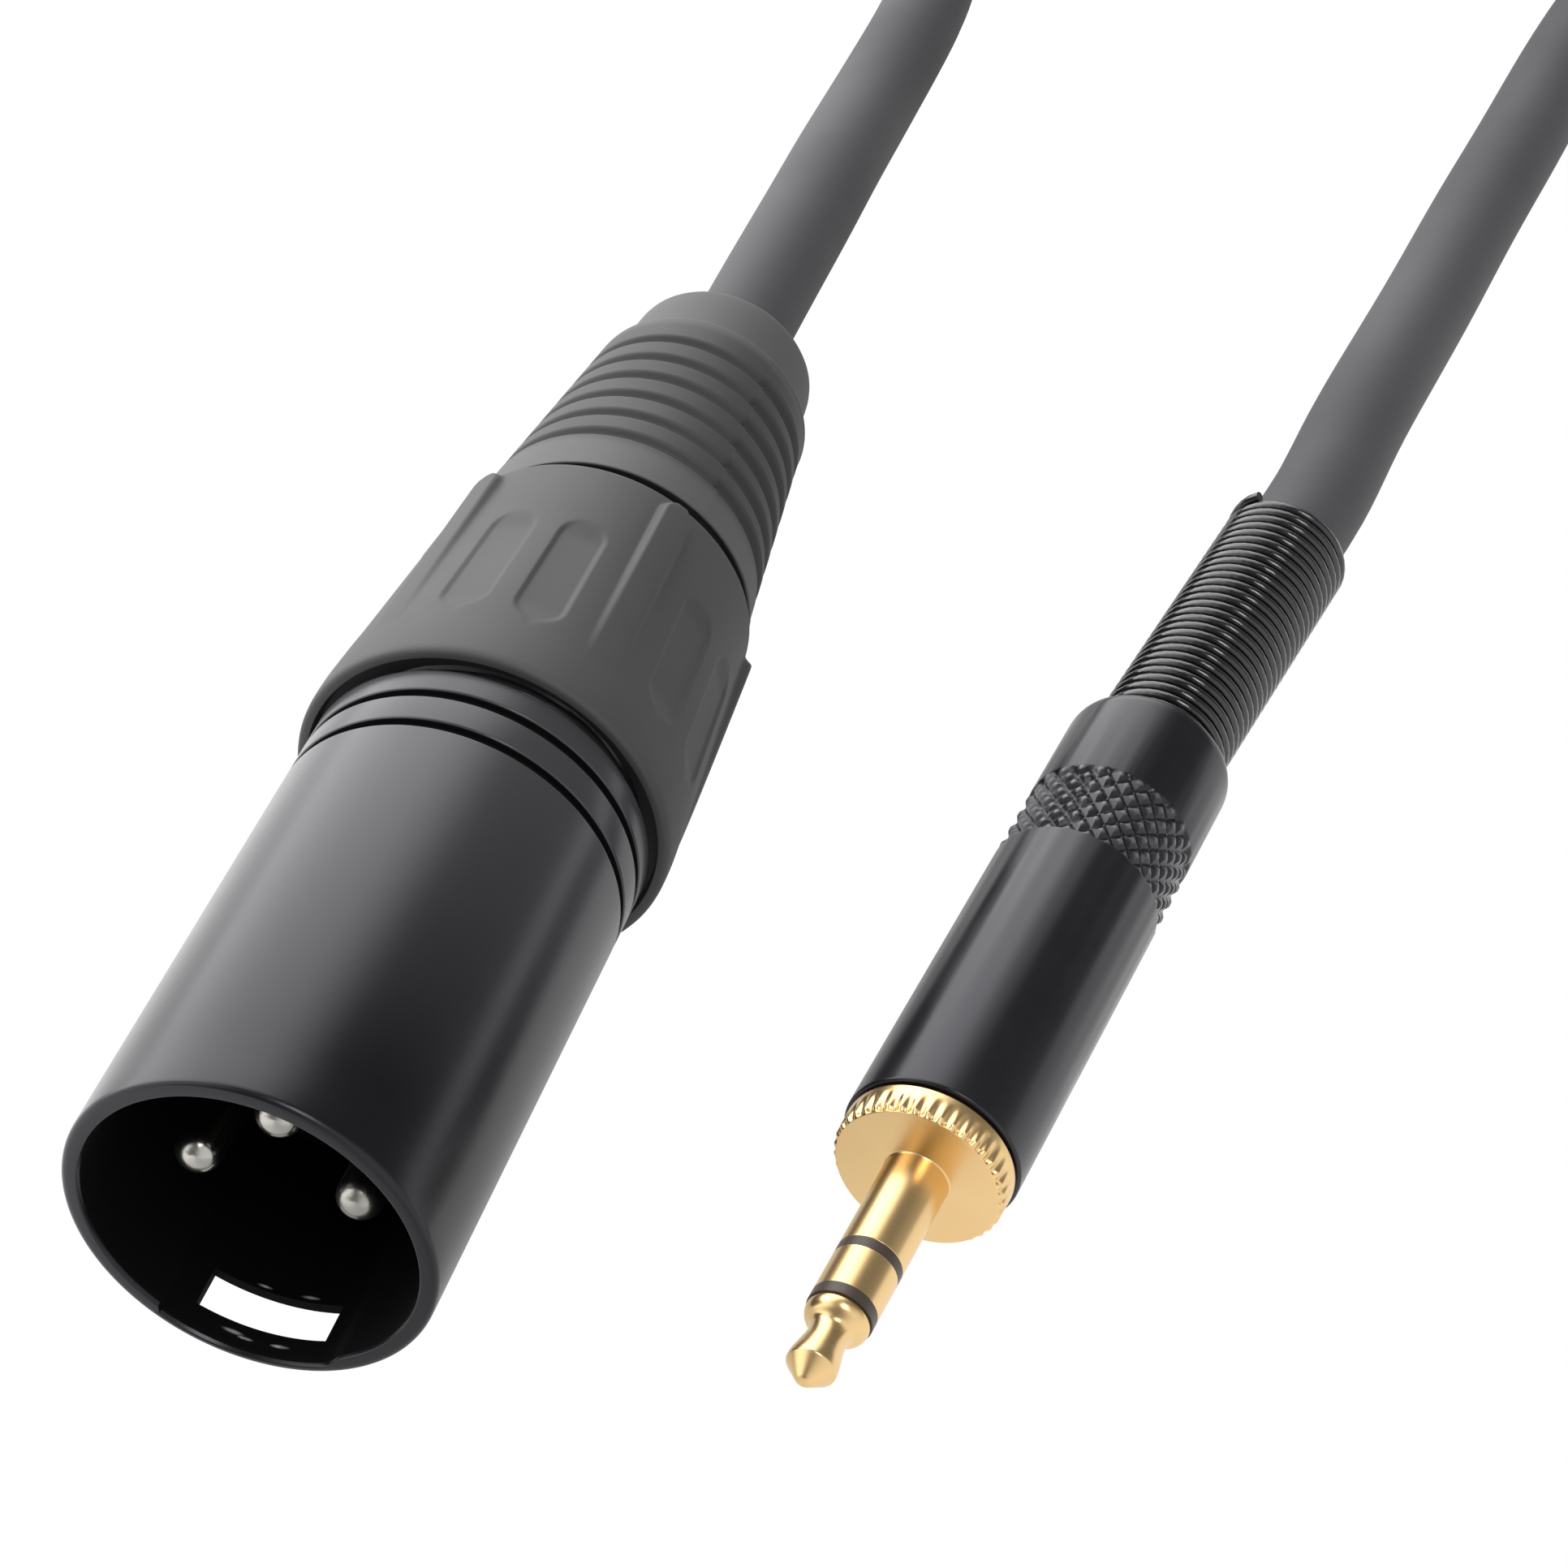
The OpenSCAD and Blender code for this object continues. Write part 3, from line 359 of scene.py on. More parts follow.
def makePin(name):
    # a turned pin with an elliptical dome and a solder cup, on the axis of the node it stands for
    c = contact
    box = np.array([v[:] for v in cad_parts[name].bound_box]) / mm
    middle = (box.min(axis=0) + box.max(axis=0)) / 2
    axis = dict(plugAxis, origin=np.array([middle[0], plugAxis["origin"][1], middle[2]]))
    dome = [(c["tip"] + c["dome"] * (1 - cos(t)), c["radius"] * sin(t), 0) for t in np.linspace(0, pi / 2, 9)]
    cupRear, cupFloor = c["rear"] + c["cupLength"], c["rear"] + c["cupFloor"]
    corners = dome + [(c["front"], c["radius"], 0), (c["front"], c["held"], 0), (c["rear"], c["held"], 0),
                      (c["rear"], c["cup"], 0), (cupRear, c["cup"], 0.1), (cupRear, c["cupBore"], 0.1),
                      (cupFloor, c["cupBore"], 0), (cupFloor, 0, 0)]
    piece = lathe("contactSkin", axis, roundedProfile(corners), ringAngles(c["lines"]))
    weld(piece)
    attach(piece, "lead")
    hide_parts(name)
    return piece


pinObjects = [makePin("xlr_pin_%d" % k) for k in (1, 2, 3)]
print("shell and contacts turned")

# locking plug: nut
nut = {"front": 31.9, "rear": 50.7, "big": 10.5, "small": 9.08, "band": 1.6, "bore": 8.6, "hole": 7.05,
       "chamber": 8.0, "threadEnd": 40.2, "seat": 48.1, "undercut": 0.62,
       "ribs": 5, "rib": (35.4, 50.2), "ribTurn": 34.5, "ribHalf": 1.05, "ribProud": 0.52, "ribRise": 0.8,
       "pocket": (36.0, 45.6), "pocketHalf": 1.34, "pocketDeep": 0.15, "arc": 9.9,
       "skin": 8.9, "fine": (34.4, 50.6), "rowStep": 0.2, "lines": 540}  # skin parts the bore from the outside


def makeNut():
    # a cone turned about the axis; low ribs rise towards its rear, with a round-ended pocket at both sides of each
    n = nut
    corners = [(n["front"] + 1.1, n["bore"], 0.1), (n["front"] + 0.9, n["big"] - 0.75, 0.1),
               (n["front"], n["big"] - n["undercut"], 0.04), (n["front"], n["big"], 0.55),
               (n["front"] + n["band"], n["big"], 0.8), (n["rear"], n["small"], 0.16),
               (n["rear"], n["hole"], 0.2), (n["seat"], n["hole"], 0.1), (n["seat"], n["chamber"], 0),
               (n["threadEnd"], n["chamber"], 0), (n["threadEnd"], n["bore"], 0)]
    profile = refined(roundedProfile(corners), *n["fine"], n["rowStep"])
    station, outer = profile[:, 0], profile[:, 1] >= n["skin"]
    third = np.arange(len(profile)) % 3 == 0  # the bore needs fewer rows than the outside
    profile = profile[outer | third | (np.abs(station - n["threadEnd"]) < 0.05) | (station < n["pocket"][0])]

    def relief(z, r, phi):  # w is the arc from the nearest rib's middle
        outside = smoothStep(r, n["skin"], n["skin"] + 0.25)
        share = 2 * pi / n["ribs"]
        fromRib = (phi - radians(n["ribTurn"]) + share / 2) % share - share / 2
        w = np.abs(fromRib) * n["arc"]
        rise = n["ribProud"] * np.clip((z - n["rib"][0]) / (n["rib"][1] - n["rib"][0]), 0, 1) ** n["ribRise"]
        pastRear = np.maximum(z - n["rib"][1] + 0.8, 0)
        rib = 1 - smoothStep(np.hypot(w, pastRear), n["ribHalf"] - 0.28, n["ribHalf"] + 0.12)
        across = np.abs(np.abs(fromRib) - share / 3) * n["arc"]
        start, end = n["pocket"]
        half = n["pocketHalf"]
        overEnd = np.clip(np.maximum(z - end, start - z) / half + 1, 0, 1)
        corner = half * np.sqrt(1 - 0.9 * overEnd ** 2)
        sides = 1 - smoothStep(across, corner - 0.14 - 0.3 * overEnd, corner + 0.05)
        ends = smoothStep(z, start - 0.8, start + 1.6) * (1 - smoothStep(z, end - 1.6, end + 0.3))
        floor = n["pocketDeep"] + np.maximum(half ** 2 - across ** 2, 0) / (2 * r)  # nearly flat
        return r + outside * (rise * rib - floor * sides * ends)

    piece = lathe("nutSkin", plugAxis, profile, ringAngles(n["lines"]), relief, sharp=60)
    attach(piece, "nut")
    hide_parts("xlr_back_nut")
    return piece


nutObject = makeNut()

# locking plug: boot. The seam's turn and the end of the stretch past it are in degrees
boot = {"front": 51.52, "askew": 0.38, "step": 69.3, "rear": 74.3, "big": 8.7, "small": 6.72, "neck": 5.9,
        "neckEnd": 5.6, "collar": (46.3, 47.8), "collarOut": 7.9, "collarIn": 7.0, "bore": 3.1,
        "grooves": (55.1, 57.35, 59.6, 61.9, 64.15, 66.4), "grooveWide": 0.5, "grooveDeep": 0.42,
        "seam": 45.0, "pastEnd": (95, 99), "pastShift": 0.15, "pastWide": 0.42, "pastDeep": 0.2, "swell": 0.06,
        "seamProud": 0.06, "seamThin": 0.13, "skin": 5, "boreMid": 60, "fine": (53.8, 67.9), "rowStep": 0.095,
        "lines": 264}


def makeBoot():
    # a cone turned about the axis, with narrow ring grooves, steep in front and easing out behind;
    # past the seam they are wider, deeper and further back
    b = boot
    corners = [(b["collar"][0], b["bore"], 0.1), (b["collar"][0], b["collarOut"], 0.2),
               (b["collar"][1], b["collarOut"], 0.2), (b["collar"][1], b["collarIn"], 0),
               (b["front"] + 1.3, b["collarIn"], 0), (b["front"] + 1.0, b["big"] - 0.9, 0.1),
               (b["front"], b["big"] - 0.15, 0.04), (b["front"], b["big"], 0.13), (b["step"], b["small"], 0.3),
               (b["step"] + 0.35, b["neck"], 0.25), (b["rear"] - 1.8, b["neck"] - 0.1, 0.8),
               (b["rear"], b["neckEnd"], 1.2), (b["rear"], b["bore"] + 0.02, 0.4), (b["boreMid"], b["bore"], 0)]
    profile = refined(roundedProfile(corners, 6), *b["fine"], b["rowStep"])
    station, outer = profile[:, 0], profile[:, 1] >= b["skin"]
    twelfth = np.arange(len(profile)) % 12 == 0  # the bore needs few rows
    profile = profile[outer | twelfth | (station < b["collar"][0] + 0.2) | (station > b["rear"] - 0.6)]

    def relief(z, r, phi):
        offSeam = (phi - radians(b["seam"]) + pi) % (2 * pi) - pi
        past = smoothStep(offSeam, -0.025, 0.025) * (1 - smoothStep(offSeam, *map(radians, b["pastEnd"])))
        depth = np.zeros(np.broadcast_shapes(z.shape, phi.shape))
        for g in b["grooves"]:
            off = z - g - b["pastShift"] * past
            half = (b["grooveWide"] + b["pastWide"] * past) / 2
            wall = smoothStep(off, -half - 0.16, -half + 0.1) * (1 - smoothStep(off, half - 0.12, half + 0.34))
            depth = np.maximum(depth, (b["grooveDeep"] + b["pastDeep"] * past) * wall)
        seamLine = np.exp(-(offSeam * r / b["seamThin"]) ** 2) * (z > b["front"] + 0.3) * (z < b["step"] - 0.2)
        swell = b["swell"] * past * (z > b["front"] + 0.5) * (z < b["step"] - 0.3)
        onSkin = (r > b["skin"]) * (z > b["front"] - 0.5)
        return r + onSkin * (b["seamProud"] * seamLine - depth - swell)

    piece = lathe("bootSkin", plugAxis, profile, ringAngles(b["lines"]), relief, sharp=55)

    # the front edge sits a little askew: further back on the right than on the left
    points = np.empty(len(piece.data.vertices) * 3)
    piece.data.vertices.foreach_get("co", points)
    points = points.reshape(-1, 3) / mm
    z = points[:, 1] - plugAxis["origin"][1]
    outward = np.hypot(points[:, 0], points[:, 2] - plugAxis["origin"][2])
    onEdge = smoothStep(z, b["front"] - 0.3, b["front"]) * (1 - smoothStep(z, b["front"] + 0.3, b["front"] + 2.4))
    points[:, 1] += b["askew"] * points[:, 0] / b["big"] * onEdge * (outward > b["collarIn"] + 0.1)
    piece.data.vertices.foreach_set("co", (points * mm).ravel())
    # painted shade: the grooved stretch is painted darker than the collar and the neck
    grooved = (smoothStep(z, b["front"] + 2.3, b["front"] + 3.4)
               * (1 - smoothStep(z, b["step"] - 1.2, b["step"] - 0.3)))
    markPoints(piece, "shade", grooved)
    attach(piece, "boot")
    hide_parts("xlr_boot")
    return piece


bootObject = makeBoot()
print("nut and boot turned")

# jack: gold tip, and the sleeve with its ridged flange, boss (drawn without its thread) and cable clamp
gold = {"radius": 1.75, "tipEnd": 4.55, "waist": 1.0, "head": 1.3, "headEnd": 1.25, "rod": 0.45, "rodEnd": 20.95,
        "sleeve": 8.4, "bore": 1.37, "flange": 14.5, "flangeRear": 16.35, "rim": 4.62, "face": 4.36,
        "ridges": 40, "ridgeDeep": 0.26, "ridgeLength": 1.4, "perRidge": 10,
        "boss": 4.15, "bossRear": 20.55, "room": 3.02, "roomFloor": 18.45,
        "point": (0.02, 0.34), "cone": 1.02, "waistAt": 2.9, "tipLines": 96,
        "clampOuter": 3.42, "clampRear": 38.05, "clampArc": (92, 268), "clampLines": 45}


def makeTip():
    # the profile of the tip and of the rod behind it, turned about the jack's axis
    t = gold
    end = t["tipEnd"]
    corners = [(0, 0, 0), (*t["point"], 0.2), (t["cone"], t["head"], 0.07), (t["headEnd"] + 0.15, t["head"], 0.3),
               (t["waistAt"], t["waist"], 0.5), (end - 1.0, t["waist"] + 0.06, 0.25),
               (end - 0.72, t["radius"] - 0.2, 0.25), (end - 0.3, t["radius"] - 0.04, 0.25),
               (end, t["radius"] - 0.12, 0.1), (end, t["rod"], 0),
               (t["rodEnd"], t["rod"], 0.1), (t["rodEnd"], 0, 0)]
    piece = lathe("tipSkin", jackAxis, roundedProfile(corners, 6), ringAngles(t["tipLines"]))
    weld(piece)
    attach(piece, "lead")
    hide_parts("jack_tip")
    return piece


def makeSleeve():
    # the sleeve's profile turned about the jack's axis; a wave round the flange cuts its straight ridges,
    # deep at the front edge and running out towards the rear
    t = gold
    corners = [(t["sleeve"], t["bore"], 0), (t["sleeve"], t["radius"], 0.05), (t["flange"], t["radius"], 0.12),
               (t["flange"], t["face"], 0.05), (t["flange"] + 0.3, t["rim"] - 0.02, 0.06),
               (t["flange"] + 1.35, t["rim"], 0), (t["flangeRear"], t["rim"], 0.14),
               (t["flangeRear"], t["boss"], 0), (t["bossRear"], t["boss"], 0.15), (t["bossRear"], t["room"], 0),
               (t["roomFloor"], t["room"], 0), (t["roomFloor"], t["bore"], 0)]
    profile = refined(roundedProfile(corners), t["flange"] + 0.05, t["flangeRear"] - 0.1, 0.12)

    def relief(z, r, phi):
        valley = smoothStep(np.abs((phi * t["ridges"] / (2 * pi)) % 1.0 * 2 - 1), 0.15, 0.9)
        fade = 1 - np.clip((z - t["flange"]) / t["ridgeLength"], 0, 1)
        reach = smoothStep(z, t["flange"] + 0.02, t["flange"] + 0.2) * fade
        return r - t["ridgeDeep"] * valley * reach * (r > t["face"] - 0.1)

    body = lathe("sleeveSkin", jackAxis, profile, ringAngles(t["ridges"] * t["perRidge"]), relief, sharp=32)
    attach(body, "lead")
    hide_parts("jack_sleeve")

    # the cable clamp: the lower half of a tube behind the boss
    lines, front = t["clampLines"], t["bossRear"] - 0.1
    arc = np.radians(np.linspace(*t["clampArc"], lines))[None, :]
    ring = np.array([(front, t["room"]), (front, t["clampOuter"]), (t["clampRear"], t["clampOuter"]),
                     (t["clampRear"], t["room"])])
    points = axisPoints(jackAxis, ring[:, 0:1] + 0 * arc, ring[:, 1:2] + 0 * arc, arc + 0 * ring[:, 0:1])
    quads = gridFaces(4, lines, True, False, True).reshape(-1, 4)
    firstLine = np.arange(4)[None, :] * lines
    caps = [firstLine, (firstLine + lines - 1)[:, ::-1]]
    clamp = makeObject("sleeveTail", points.reshape(-1, 3), [quads] + caps, 35)
    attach(clamp, "lead")
    return body, clamp


tipObject = makeTip()
sleeveObject, clampObject = makeSleeve()
print("tip and sleeve turned")

# jack: barrel, with a knurl of around by axial pyramids
barrel = {"front": 16.5, "radius": 4.8, "bore": 4.2, "hole": 3.95, "seat": 46.2, "knurl": (37.1, 42.5),
          "around": 26, "perPyramid": 14, "axial": 1.32, "deep": 0.24, "worn": 1.35, "rowStep": 0.1,
          "skin": 4.5, "plainFront": 30, "plainRear": 44}


def makeBarrel():
    # a tube turned about the jack's axis; two crossing families of helical grooves leave rows of small pyramids,
    # none prouder than the barrel, and worn at their tips
    # the tips are painted a lighter grey: a painted highlight
    b = barrel
    k0, k1 = b["knurl"]
    corners = [(b["front"], b["bore"], 0.08), (b["front"], b["radius"], 0.18), (k0 - 0.15, b["radius"], 0),
               (k1 + 0.15, b["radius"], 0), (barrelRear, b["radius"], 0.8), (barrelRear, b["hole"], 0.2),
               (b["seat"], b["hole"], 0), (b["seat"], b["bore"], 0)]
    profile = refined(roundedProfile(corners, 6), k0 - 0.1, k1 + 0.1, b["rowStep"])
    station, outer = profile[:, 0], profile[:, 1] >= b["skin"]
    tenth = np.arange(len(profile)) % 10 == 0  # the bore needs few rows
    profile = profile[outer | tenth | (station < b["plainFront"]) | (station > b["plainRear"])]
    phi = ringAngles(b["around"] * b["perPyramid"])

    def relief(z, r, phi):  # the radius, and how much its point lies on a worn tip
        # the second value marks the tips for a painted highlight
        across = phi * b["around"] / (2 * pi)
        first = np.abs((across + (z - k0) / b["axial"]) % 1.0 * 2 - 1)
        second = np.abs((across - (z - k0) / b["axial"]) % 1.0 * 2 - 1)
        height = 1 - np.maximum(first, second)
        band = smoothStep(z, k0 - 0.1, k0 + 0.15) * (1 - smoothStep(z, k1 - 0.15, k1 + 0.1)) * (r > b["skin"] + 0.1)
        return r - band * b["deep"] * (1 - np.minimum(height * b["worn"], 1)), band * smoothStep(height, 0.5, 0.9)

    piece = lathe("barrelSkin", jackAxis, profile, phi, lambda *at: relief(*at)[0], sharp=30)
    # painted highlight: the pyramids' tips are painted a lighter grey
    markPoints(piece, "shade", relief(profile[:, 0:1], profile[:, 1:2], phi[None, :])[1])
    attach(piece, "barrel")
    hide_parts("jack_barrel")
    return piece


barrelObject = makeBarrel()

# jack: spring. Flare and tail are in turns from its two ends, and the bend in mm from the barrel's rear
spring = {"wire": 0.6, "pitch": 0.74, "front": 45.55, "radius": 3.58, "flare": 3.75, "flareTurns": (0.9, 1.5),
          "tailOut": 0.3, "tailTurns": 0.14, "bend": (-0.8, 1.2), "start": -30, "perTurn": 40, "sides": 10}


def makeSpring():
    # a circle carried along a helix about the jack's axis that goes on about the bent axis behind the barrel
    s = spring
    turns = (barrelRear + springOut - s["wire"] / 2 - s["front"]) / s["pitch"]
    t = np.linspace(0, turns, int(turns * s["perTurn"]))
    z = s["front"] + s["pitch"] * t
    phi = 2 * pi * t + radians(s["start"]) - 2 * pi * turns
    flare = (s["flare"] - s["radius"]) * (1 - smoothStep(t, *s["flareTurns"]))
    radius = s["radius"] + flare + s["tailOut"] * smoothStep(t, turns - s["tailTurns"], turns)
    inside = axisPoints(jackAxis, z, radius, phi)
    outside = axisPoints(springAxis, z - barrelRear, radius, phi)
    bent = smoothStep(z, barrelRear + s["bend"][0], barrelRear + s["bend"][1])[:, None]
    path = inside + (outside - inside) * bent
    centre = (axisPoints(jackAxis, z, 0.0, phi) * (1 - bent)
              + axisPoints(springAxis, z - barrelRear, 0.0, phi) * bent)
    tangent = unit(np.gradient(path, axis=0))
    outward = unit(path - centre)
    outward = unit(outward - np.sum(outward * tangent, -1, keepdims=True) * tangent)
    piece = tube("springCoil", path, outward, np.cross(tangent, outward), s["wire"] / 2, s["sides"])
    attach(piece, "spring")
    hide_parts("jack_spring")
    return piece


springObject = makeSpring()
print("barrel and spring turned")

# tie round the coil
tie = {"width": 11.6, "thick": 0.75, "edge": 0.3, "bend": 3.4, "bendLines": 10}


def makeTie():
    # a strap's section carried round the coil's cross-section: four quarter turns joined by straight runs
    inner, outer = coil["outer"] - coil["turns"] * cable["diameter"], coil["outer"]
    low, high = cable["diameter"] / 2 + coil["lift"], cable["diameter"] * 1.5 + coil["lift"]
    halfWide, halfThick, bend = tie["width"] / 2, tie["thick"] / 2, tie["bend"]

    def corner(y, z, first, last):
        a = np.radians(np.linspace(first, last, tie["bendLines"]))
        return np.stack([y + bend * np.cos(a), z + bend * np.sin(a)], -1)

    middle = (inner + outer) / 2
    ends = [[middle, low - bend]]
    loop = np.concatenate([ends, corner(inner, low, 270, 180), corner(inner, high, 180, 90),
                           corner(outer, high, 90, 0), corner(outer, low, 0, -90), ends])
    section = roundedProfile([(-halfWide, -halfThick, tie["edge"]), (halfWide, -halfThick, tie["edge"]),
                              (halfWide, halfThick, tie["edge"]), (-halfWide, halfThick, tie["edge"])], 3)
    tangent = unit(np.gradient(loop, axis=0))
    tangent[0] = tangent[-1] = [-1.0, 0.0]
    normal = np.stack([-tangent[:, 1], tangent[:, 0]], -1)
    inward = np.sum(normal * (loop - [middle, (low + high) / 2]), -1) < 0
    normal = np.where(inward[:, None], -normal, normal)
    rows, cols = len(loop), len(section)
    at = loop[:, None, :] + normal[:, None, :] * section[None, :, 1:2]
    x = coil["centre"][0] + np.broadcast_to(section[None, :, 0], (rows, cols))
    points = np.stack([x, coil["centre"][1] + at[..., 0], at[..., 1]], -1)
    quads = gridFaces(rows, cols, False, True, True).reshape(-1, 4)
    piece = makeObject("coilTie", points.reshape(-1, 3), [quads], 50)
    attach(piece, "lead")
    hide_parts("coil_tie")
    return piece


tieObject = makeTie()
print("tie wrapped")


# helpers for materials
mixColor = {"first": 6, "second": 7, "result": 2}  # the colour sockets of a Mix node, which share their names


def addNode(tree, kind, inputs=None, **settings):  # an input is a value, or a socket to link from
    node = tree.nodes.new(kind)
    for key, value in settings.items():
        setattr(node, key, value)
    for key, value in (inputs or {}).items():
        if isinstance(value, bpy.types.NodeSocket):
            tree.links.new(value, node.inputs[key])
        else:
            node.inputs[key].default_value = value
    return node


def makeGroup(name, inputs, outputs):
    tree = bpy.data.node_groups.new(name, "ShaderNodeTree")
    for label, kind, value in inputs:
        tree.interface.new_socket(label, in_out="INPUT", socket_type=kind).default_value = value
    for label, kind in outputs:
        tree.interface.new_socket(label, in_out="OUTPUT", socket_type=kind)
    return tree, tree.nodes.new("NodeGroupInput").outputs, tree.nodes.new("NodeGroupOutput").inputs


def grainGroup():
    # fine moulded grain and broader handling marks: Normal and Speck are the fine one, Mask the broad one
    tree, given, out = makeGroup("grain",
                                 [("Fine", "NodeSocketFloat", 2500), ("Broad", "NodeSocketFloat", 90),
                                  ("Depth", "NodeSocketFloat", 0.00002)],
                                 [("Normal", "NodeSocketVector"), ("Mask", "NodeSocketFloat"),
                                  ("Speck", "NodeSocketFloat")])
    spot = addNode(tree, "ShaderNodeTexCoord").outputs["Object"]
    fine = addNode(tree, "ShaderNodeTexNoise", {"Vector": spot, "Scale": given["Fine"], "Detail": 2.0})
    broad = addNode(tree, "ShaderNodeTexNoise", {"Vector": spot, "Scale": given["Broad"], "Detail": 4.0})
    mask = addNode(tree, "ShaderNodeMapRange",
                   {"Value": broad.outputs[0], "From Min": 0.25, "From Max": 0.75},
                   interpolation_type="SMOOTHERSTEP")
    bump = addNode(tree, "ShaderNodeBump",
                   {"Strength": 1.0, "Distance": given["Depth"], "Height": fine.outputs[0]})
    tree.links.new(bump.outputs[0], out["Normal"])
    tree.links.new(mask.outputs[0], out["Mask"])
    tree.links.new(fine.outputs[0], out["Speck"])
    return tree


def turnedGroup():
    # fine tool lines square to an axis
    tree, given, out = makeGroup("turnedLines",
                                 [("Axis", "NodeSocketVector", (0.0, 1.0, 0.0)),
                                  ("Lines", "NodeSocketFloat", 9000), ("Depth", "NodeSocketFloat", 0.000004)],
                                 [("Normal", "NodeSocketVector")])
    spot = addNode(tree, "ShaderNodeTexCoord").outputs["Object"]
    along = addNode(tree, "ShaderNodeVectorMath", {0: spot, 1: given["Axis"]}, operation="DOT_PRODUCT")
    lines = addNode(tree, "ShaderNodeTexNoise",
                    {"W": along.outputs["Value"], "Scale": given["Lines"], "Detail": 3.0},
                    noise_dimensions="1D")
    bump = addNode(tree, "ShaderNodeBump",
                   {"Strength": 1.0, "Distance": given["Depth"], "Height": lines.outputs[0]})
    tree.links.new(bump.outputs[0], out["Normal"])
    return tree


groups = {"grain": grainGroup(), "turned": turnedGroup()}


def makeMaterial(name, clean, handled, roughness, metallic=0.0, grain=None, turned=None, spread=0.1, coat=0.0,
                 **sockets):
    # the colour goes from clean to handled, and the roughness varies by spread, over the broad marks
    material = bpy.data.materials.new(name)
    material.use_nodes = True
    tree = material.node_tree
    shader = tree.nodes["Principled BSDF"]
    marks = addNode(tree, "ShaderNodeGroup", grain, node_tree=groups["grain"])
    mask, normal = marks.outputs["Mask"], marks.outputs["Normal"]
    if turned:
        normal = addNode(tree, "ShaderNodeGroup", turned, node_tree=groups["turned"]).outputs["Normal"]
    blend = addNode(tree, "ShaderNodeMix", {"Factor": mask}, data_type="RGBA")
    blend.inputs[mixColor["first"]].default_value = (*clean, 1)
    blend.inputs[mixColor["second"]].default_value = (*handled, 1)
    rough = addNode(tree, "ShaderNodeMapRange",
                    {"Value": mask, "To Min": roughness - spread / 2, "To Max": roughness + spread / 2})
    tree.links.new(blend.outputs[mixColor["result"]], shader.inputs["Base Color"])
    tree.links.new(rough.outputs[0], shader.inputs["Roughness"])
    tree.links.new(normal, shader.inputs["Normal"])
    shader.inputs["Metallic"].default_value = metallic
    shader.inputs["Coat Weight"].default_value = coat
    for key, value in sockets.items():
        shader.inputs[key.replace("_", " ")].default_value = value
    return material


def mixInto(material, amount, second):  # the base colour goes over to a second one where the amount is 1
    tree = material.node_tree
    color = tree.nodes["Principled BSDF"].inputs["Base Color"]
    blend = addNode(tree, "ShaderNodeMix", {"Factor": amount}, data_type="RGBA")
    tree.links.new(color.links[0].from_socket, blend.inputs[mixColor["first"]])
    blend.inputs[mixColor["second"]].default_value = (*second, 1)
    tree.links.new(blend.outputs[mixColor["result"]], color)
    return material


# used here only for painted light: painted shade on the boot, a painted sheen on the shell, painted highlights on
# the barrel
def shadedBy(attribute, second, material):  # a second colour where the piece's attribute is 1
    amount = addNode(material.node_tree, "ShaderNodeAttribute", attribute_name=attribute).outputs["Fac"]
    return mixInto(material, amount, second)


# painted glints: short light grey streaks painted on the key groove, standing for highlights: x, y, z and reach of
# each, in mm
paintedGlints = {"at": ((-1.63, -32.85, 1.63, 0.5), (0.77, -32.8, 1.51, 0.6), (-1.99, -36.1, 1.7, 0.7),
               (-1.3, -36.25, 1.55, 0.5), (0.5, -36.2, 1.5, 0.6)),
        "thin": 4.5, "full": 0.1, "color": (0.6, 0.6, 0.62)}


def addPaintedGlints(material):
    # lays the painted glints over the base colour, broken up by the fine speck
    tree = material.node_tree
    marks = next(node for node in tree.nodes if node.type == "GROUP")
    spot = addNode(tree, "ShaderNodeVectorMath",
                   {0: addNode(tree, "ShaderNodeTexCoord").outputs["Object"], 1: (1, paintedGlints["thin"], 1)},
                   operation="MULTIPLY").outputs[0]
    most = addNode(tree, "ShaderNodeValue").outputs[0]
    most.default_value = 0.0
    for x, y, z, reach in paintedGlints["at"]:
        away = addNode(tree, "ShaderNodeVectorMath", {0: spot, 1: (x * mm, y * mm * paintedGlints["thin"], z * mm)},
                       operation="DISTANCE")
        near = addNode(tree, "ShaderNodeMapRange",
                       {"Value": away.outputs["Value"], "From Min": reach * mm, "From Max": paintedGlints["full"] * mm},
                       interpolation_type="SMOOTHSTEP")
        most = addNode(tree, "ShaderNodeMath", {0: most, 1: near.outputs[0]}, operation="MAXIMUM").outputs[0]
    broken = addNode(tree, "ShaderNodeMath", {0: most, 1: marks.outputs["Speck"]}, operation="MULTIPLY")
    return mixInto(material, broken.outputs[0], paintedGlints["color"])


jackBack = tuple(jackAxis["back"])
goldFar = {"from": 0.012, "color": (0.4, 0.4, 0.42)}  # beyond this distance, in metres, reflections lose the gold


def goldMaterial():
    material = makeMaterial("goldPlate", (0.86, 0.62, 0.31), (0.8, 0.55, 0.26), 0.27, metallic=1.0,
                            turned={"Axis": jackBack, "Lines": 9000.0, "Depth": 0.000002})
    tree = material.node_tree
    path = addNode(tree, "ShaderNodeLightPath")
    far = addNode(tree, "ShaderNodeMath", {0: path.outputs["Ray Length"], 1: goldFar["from"]},
                  operation="GREATER_THAN")
    faded = addNode(tree, "ShaderNodeMath", {0: far.outputs[0], 1: path.outputs["Is Camera Ray"]},
                    operation="SUBTRACT", use_clamp=True)
    return mixInto(material, faded.outputs[0], goldFar["color"])


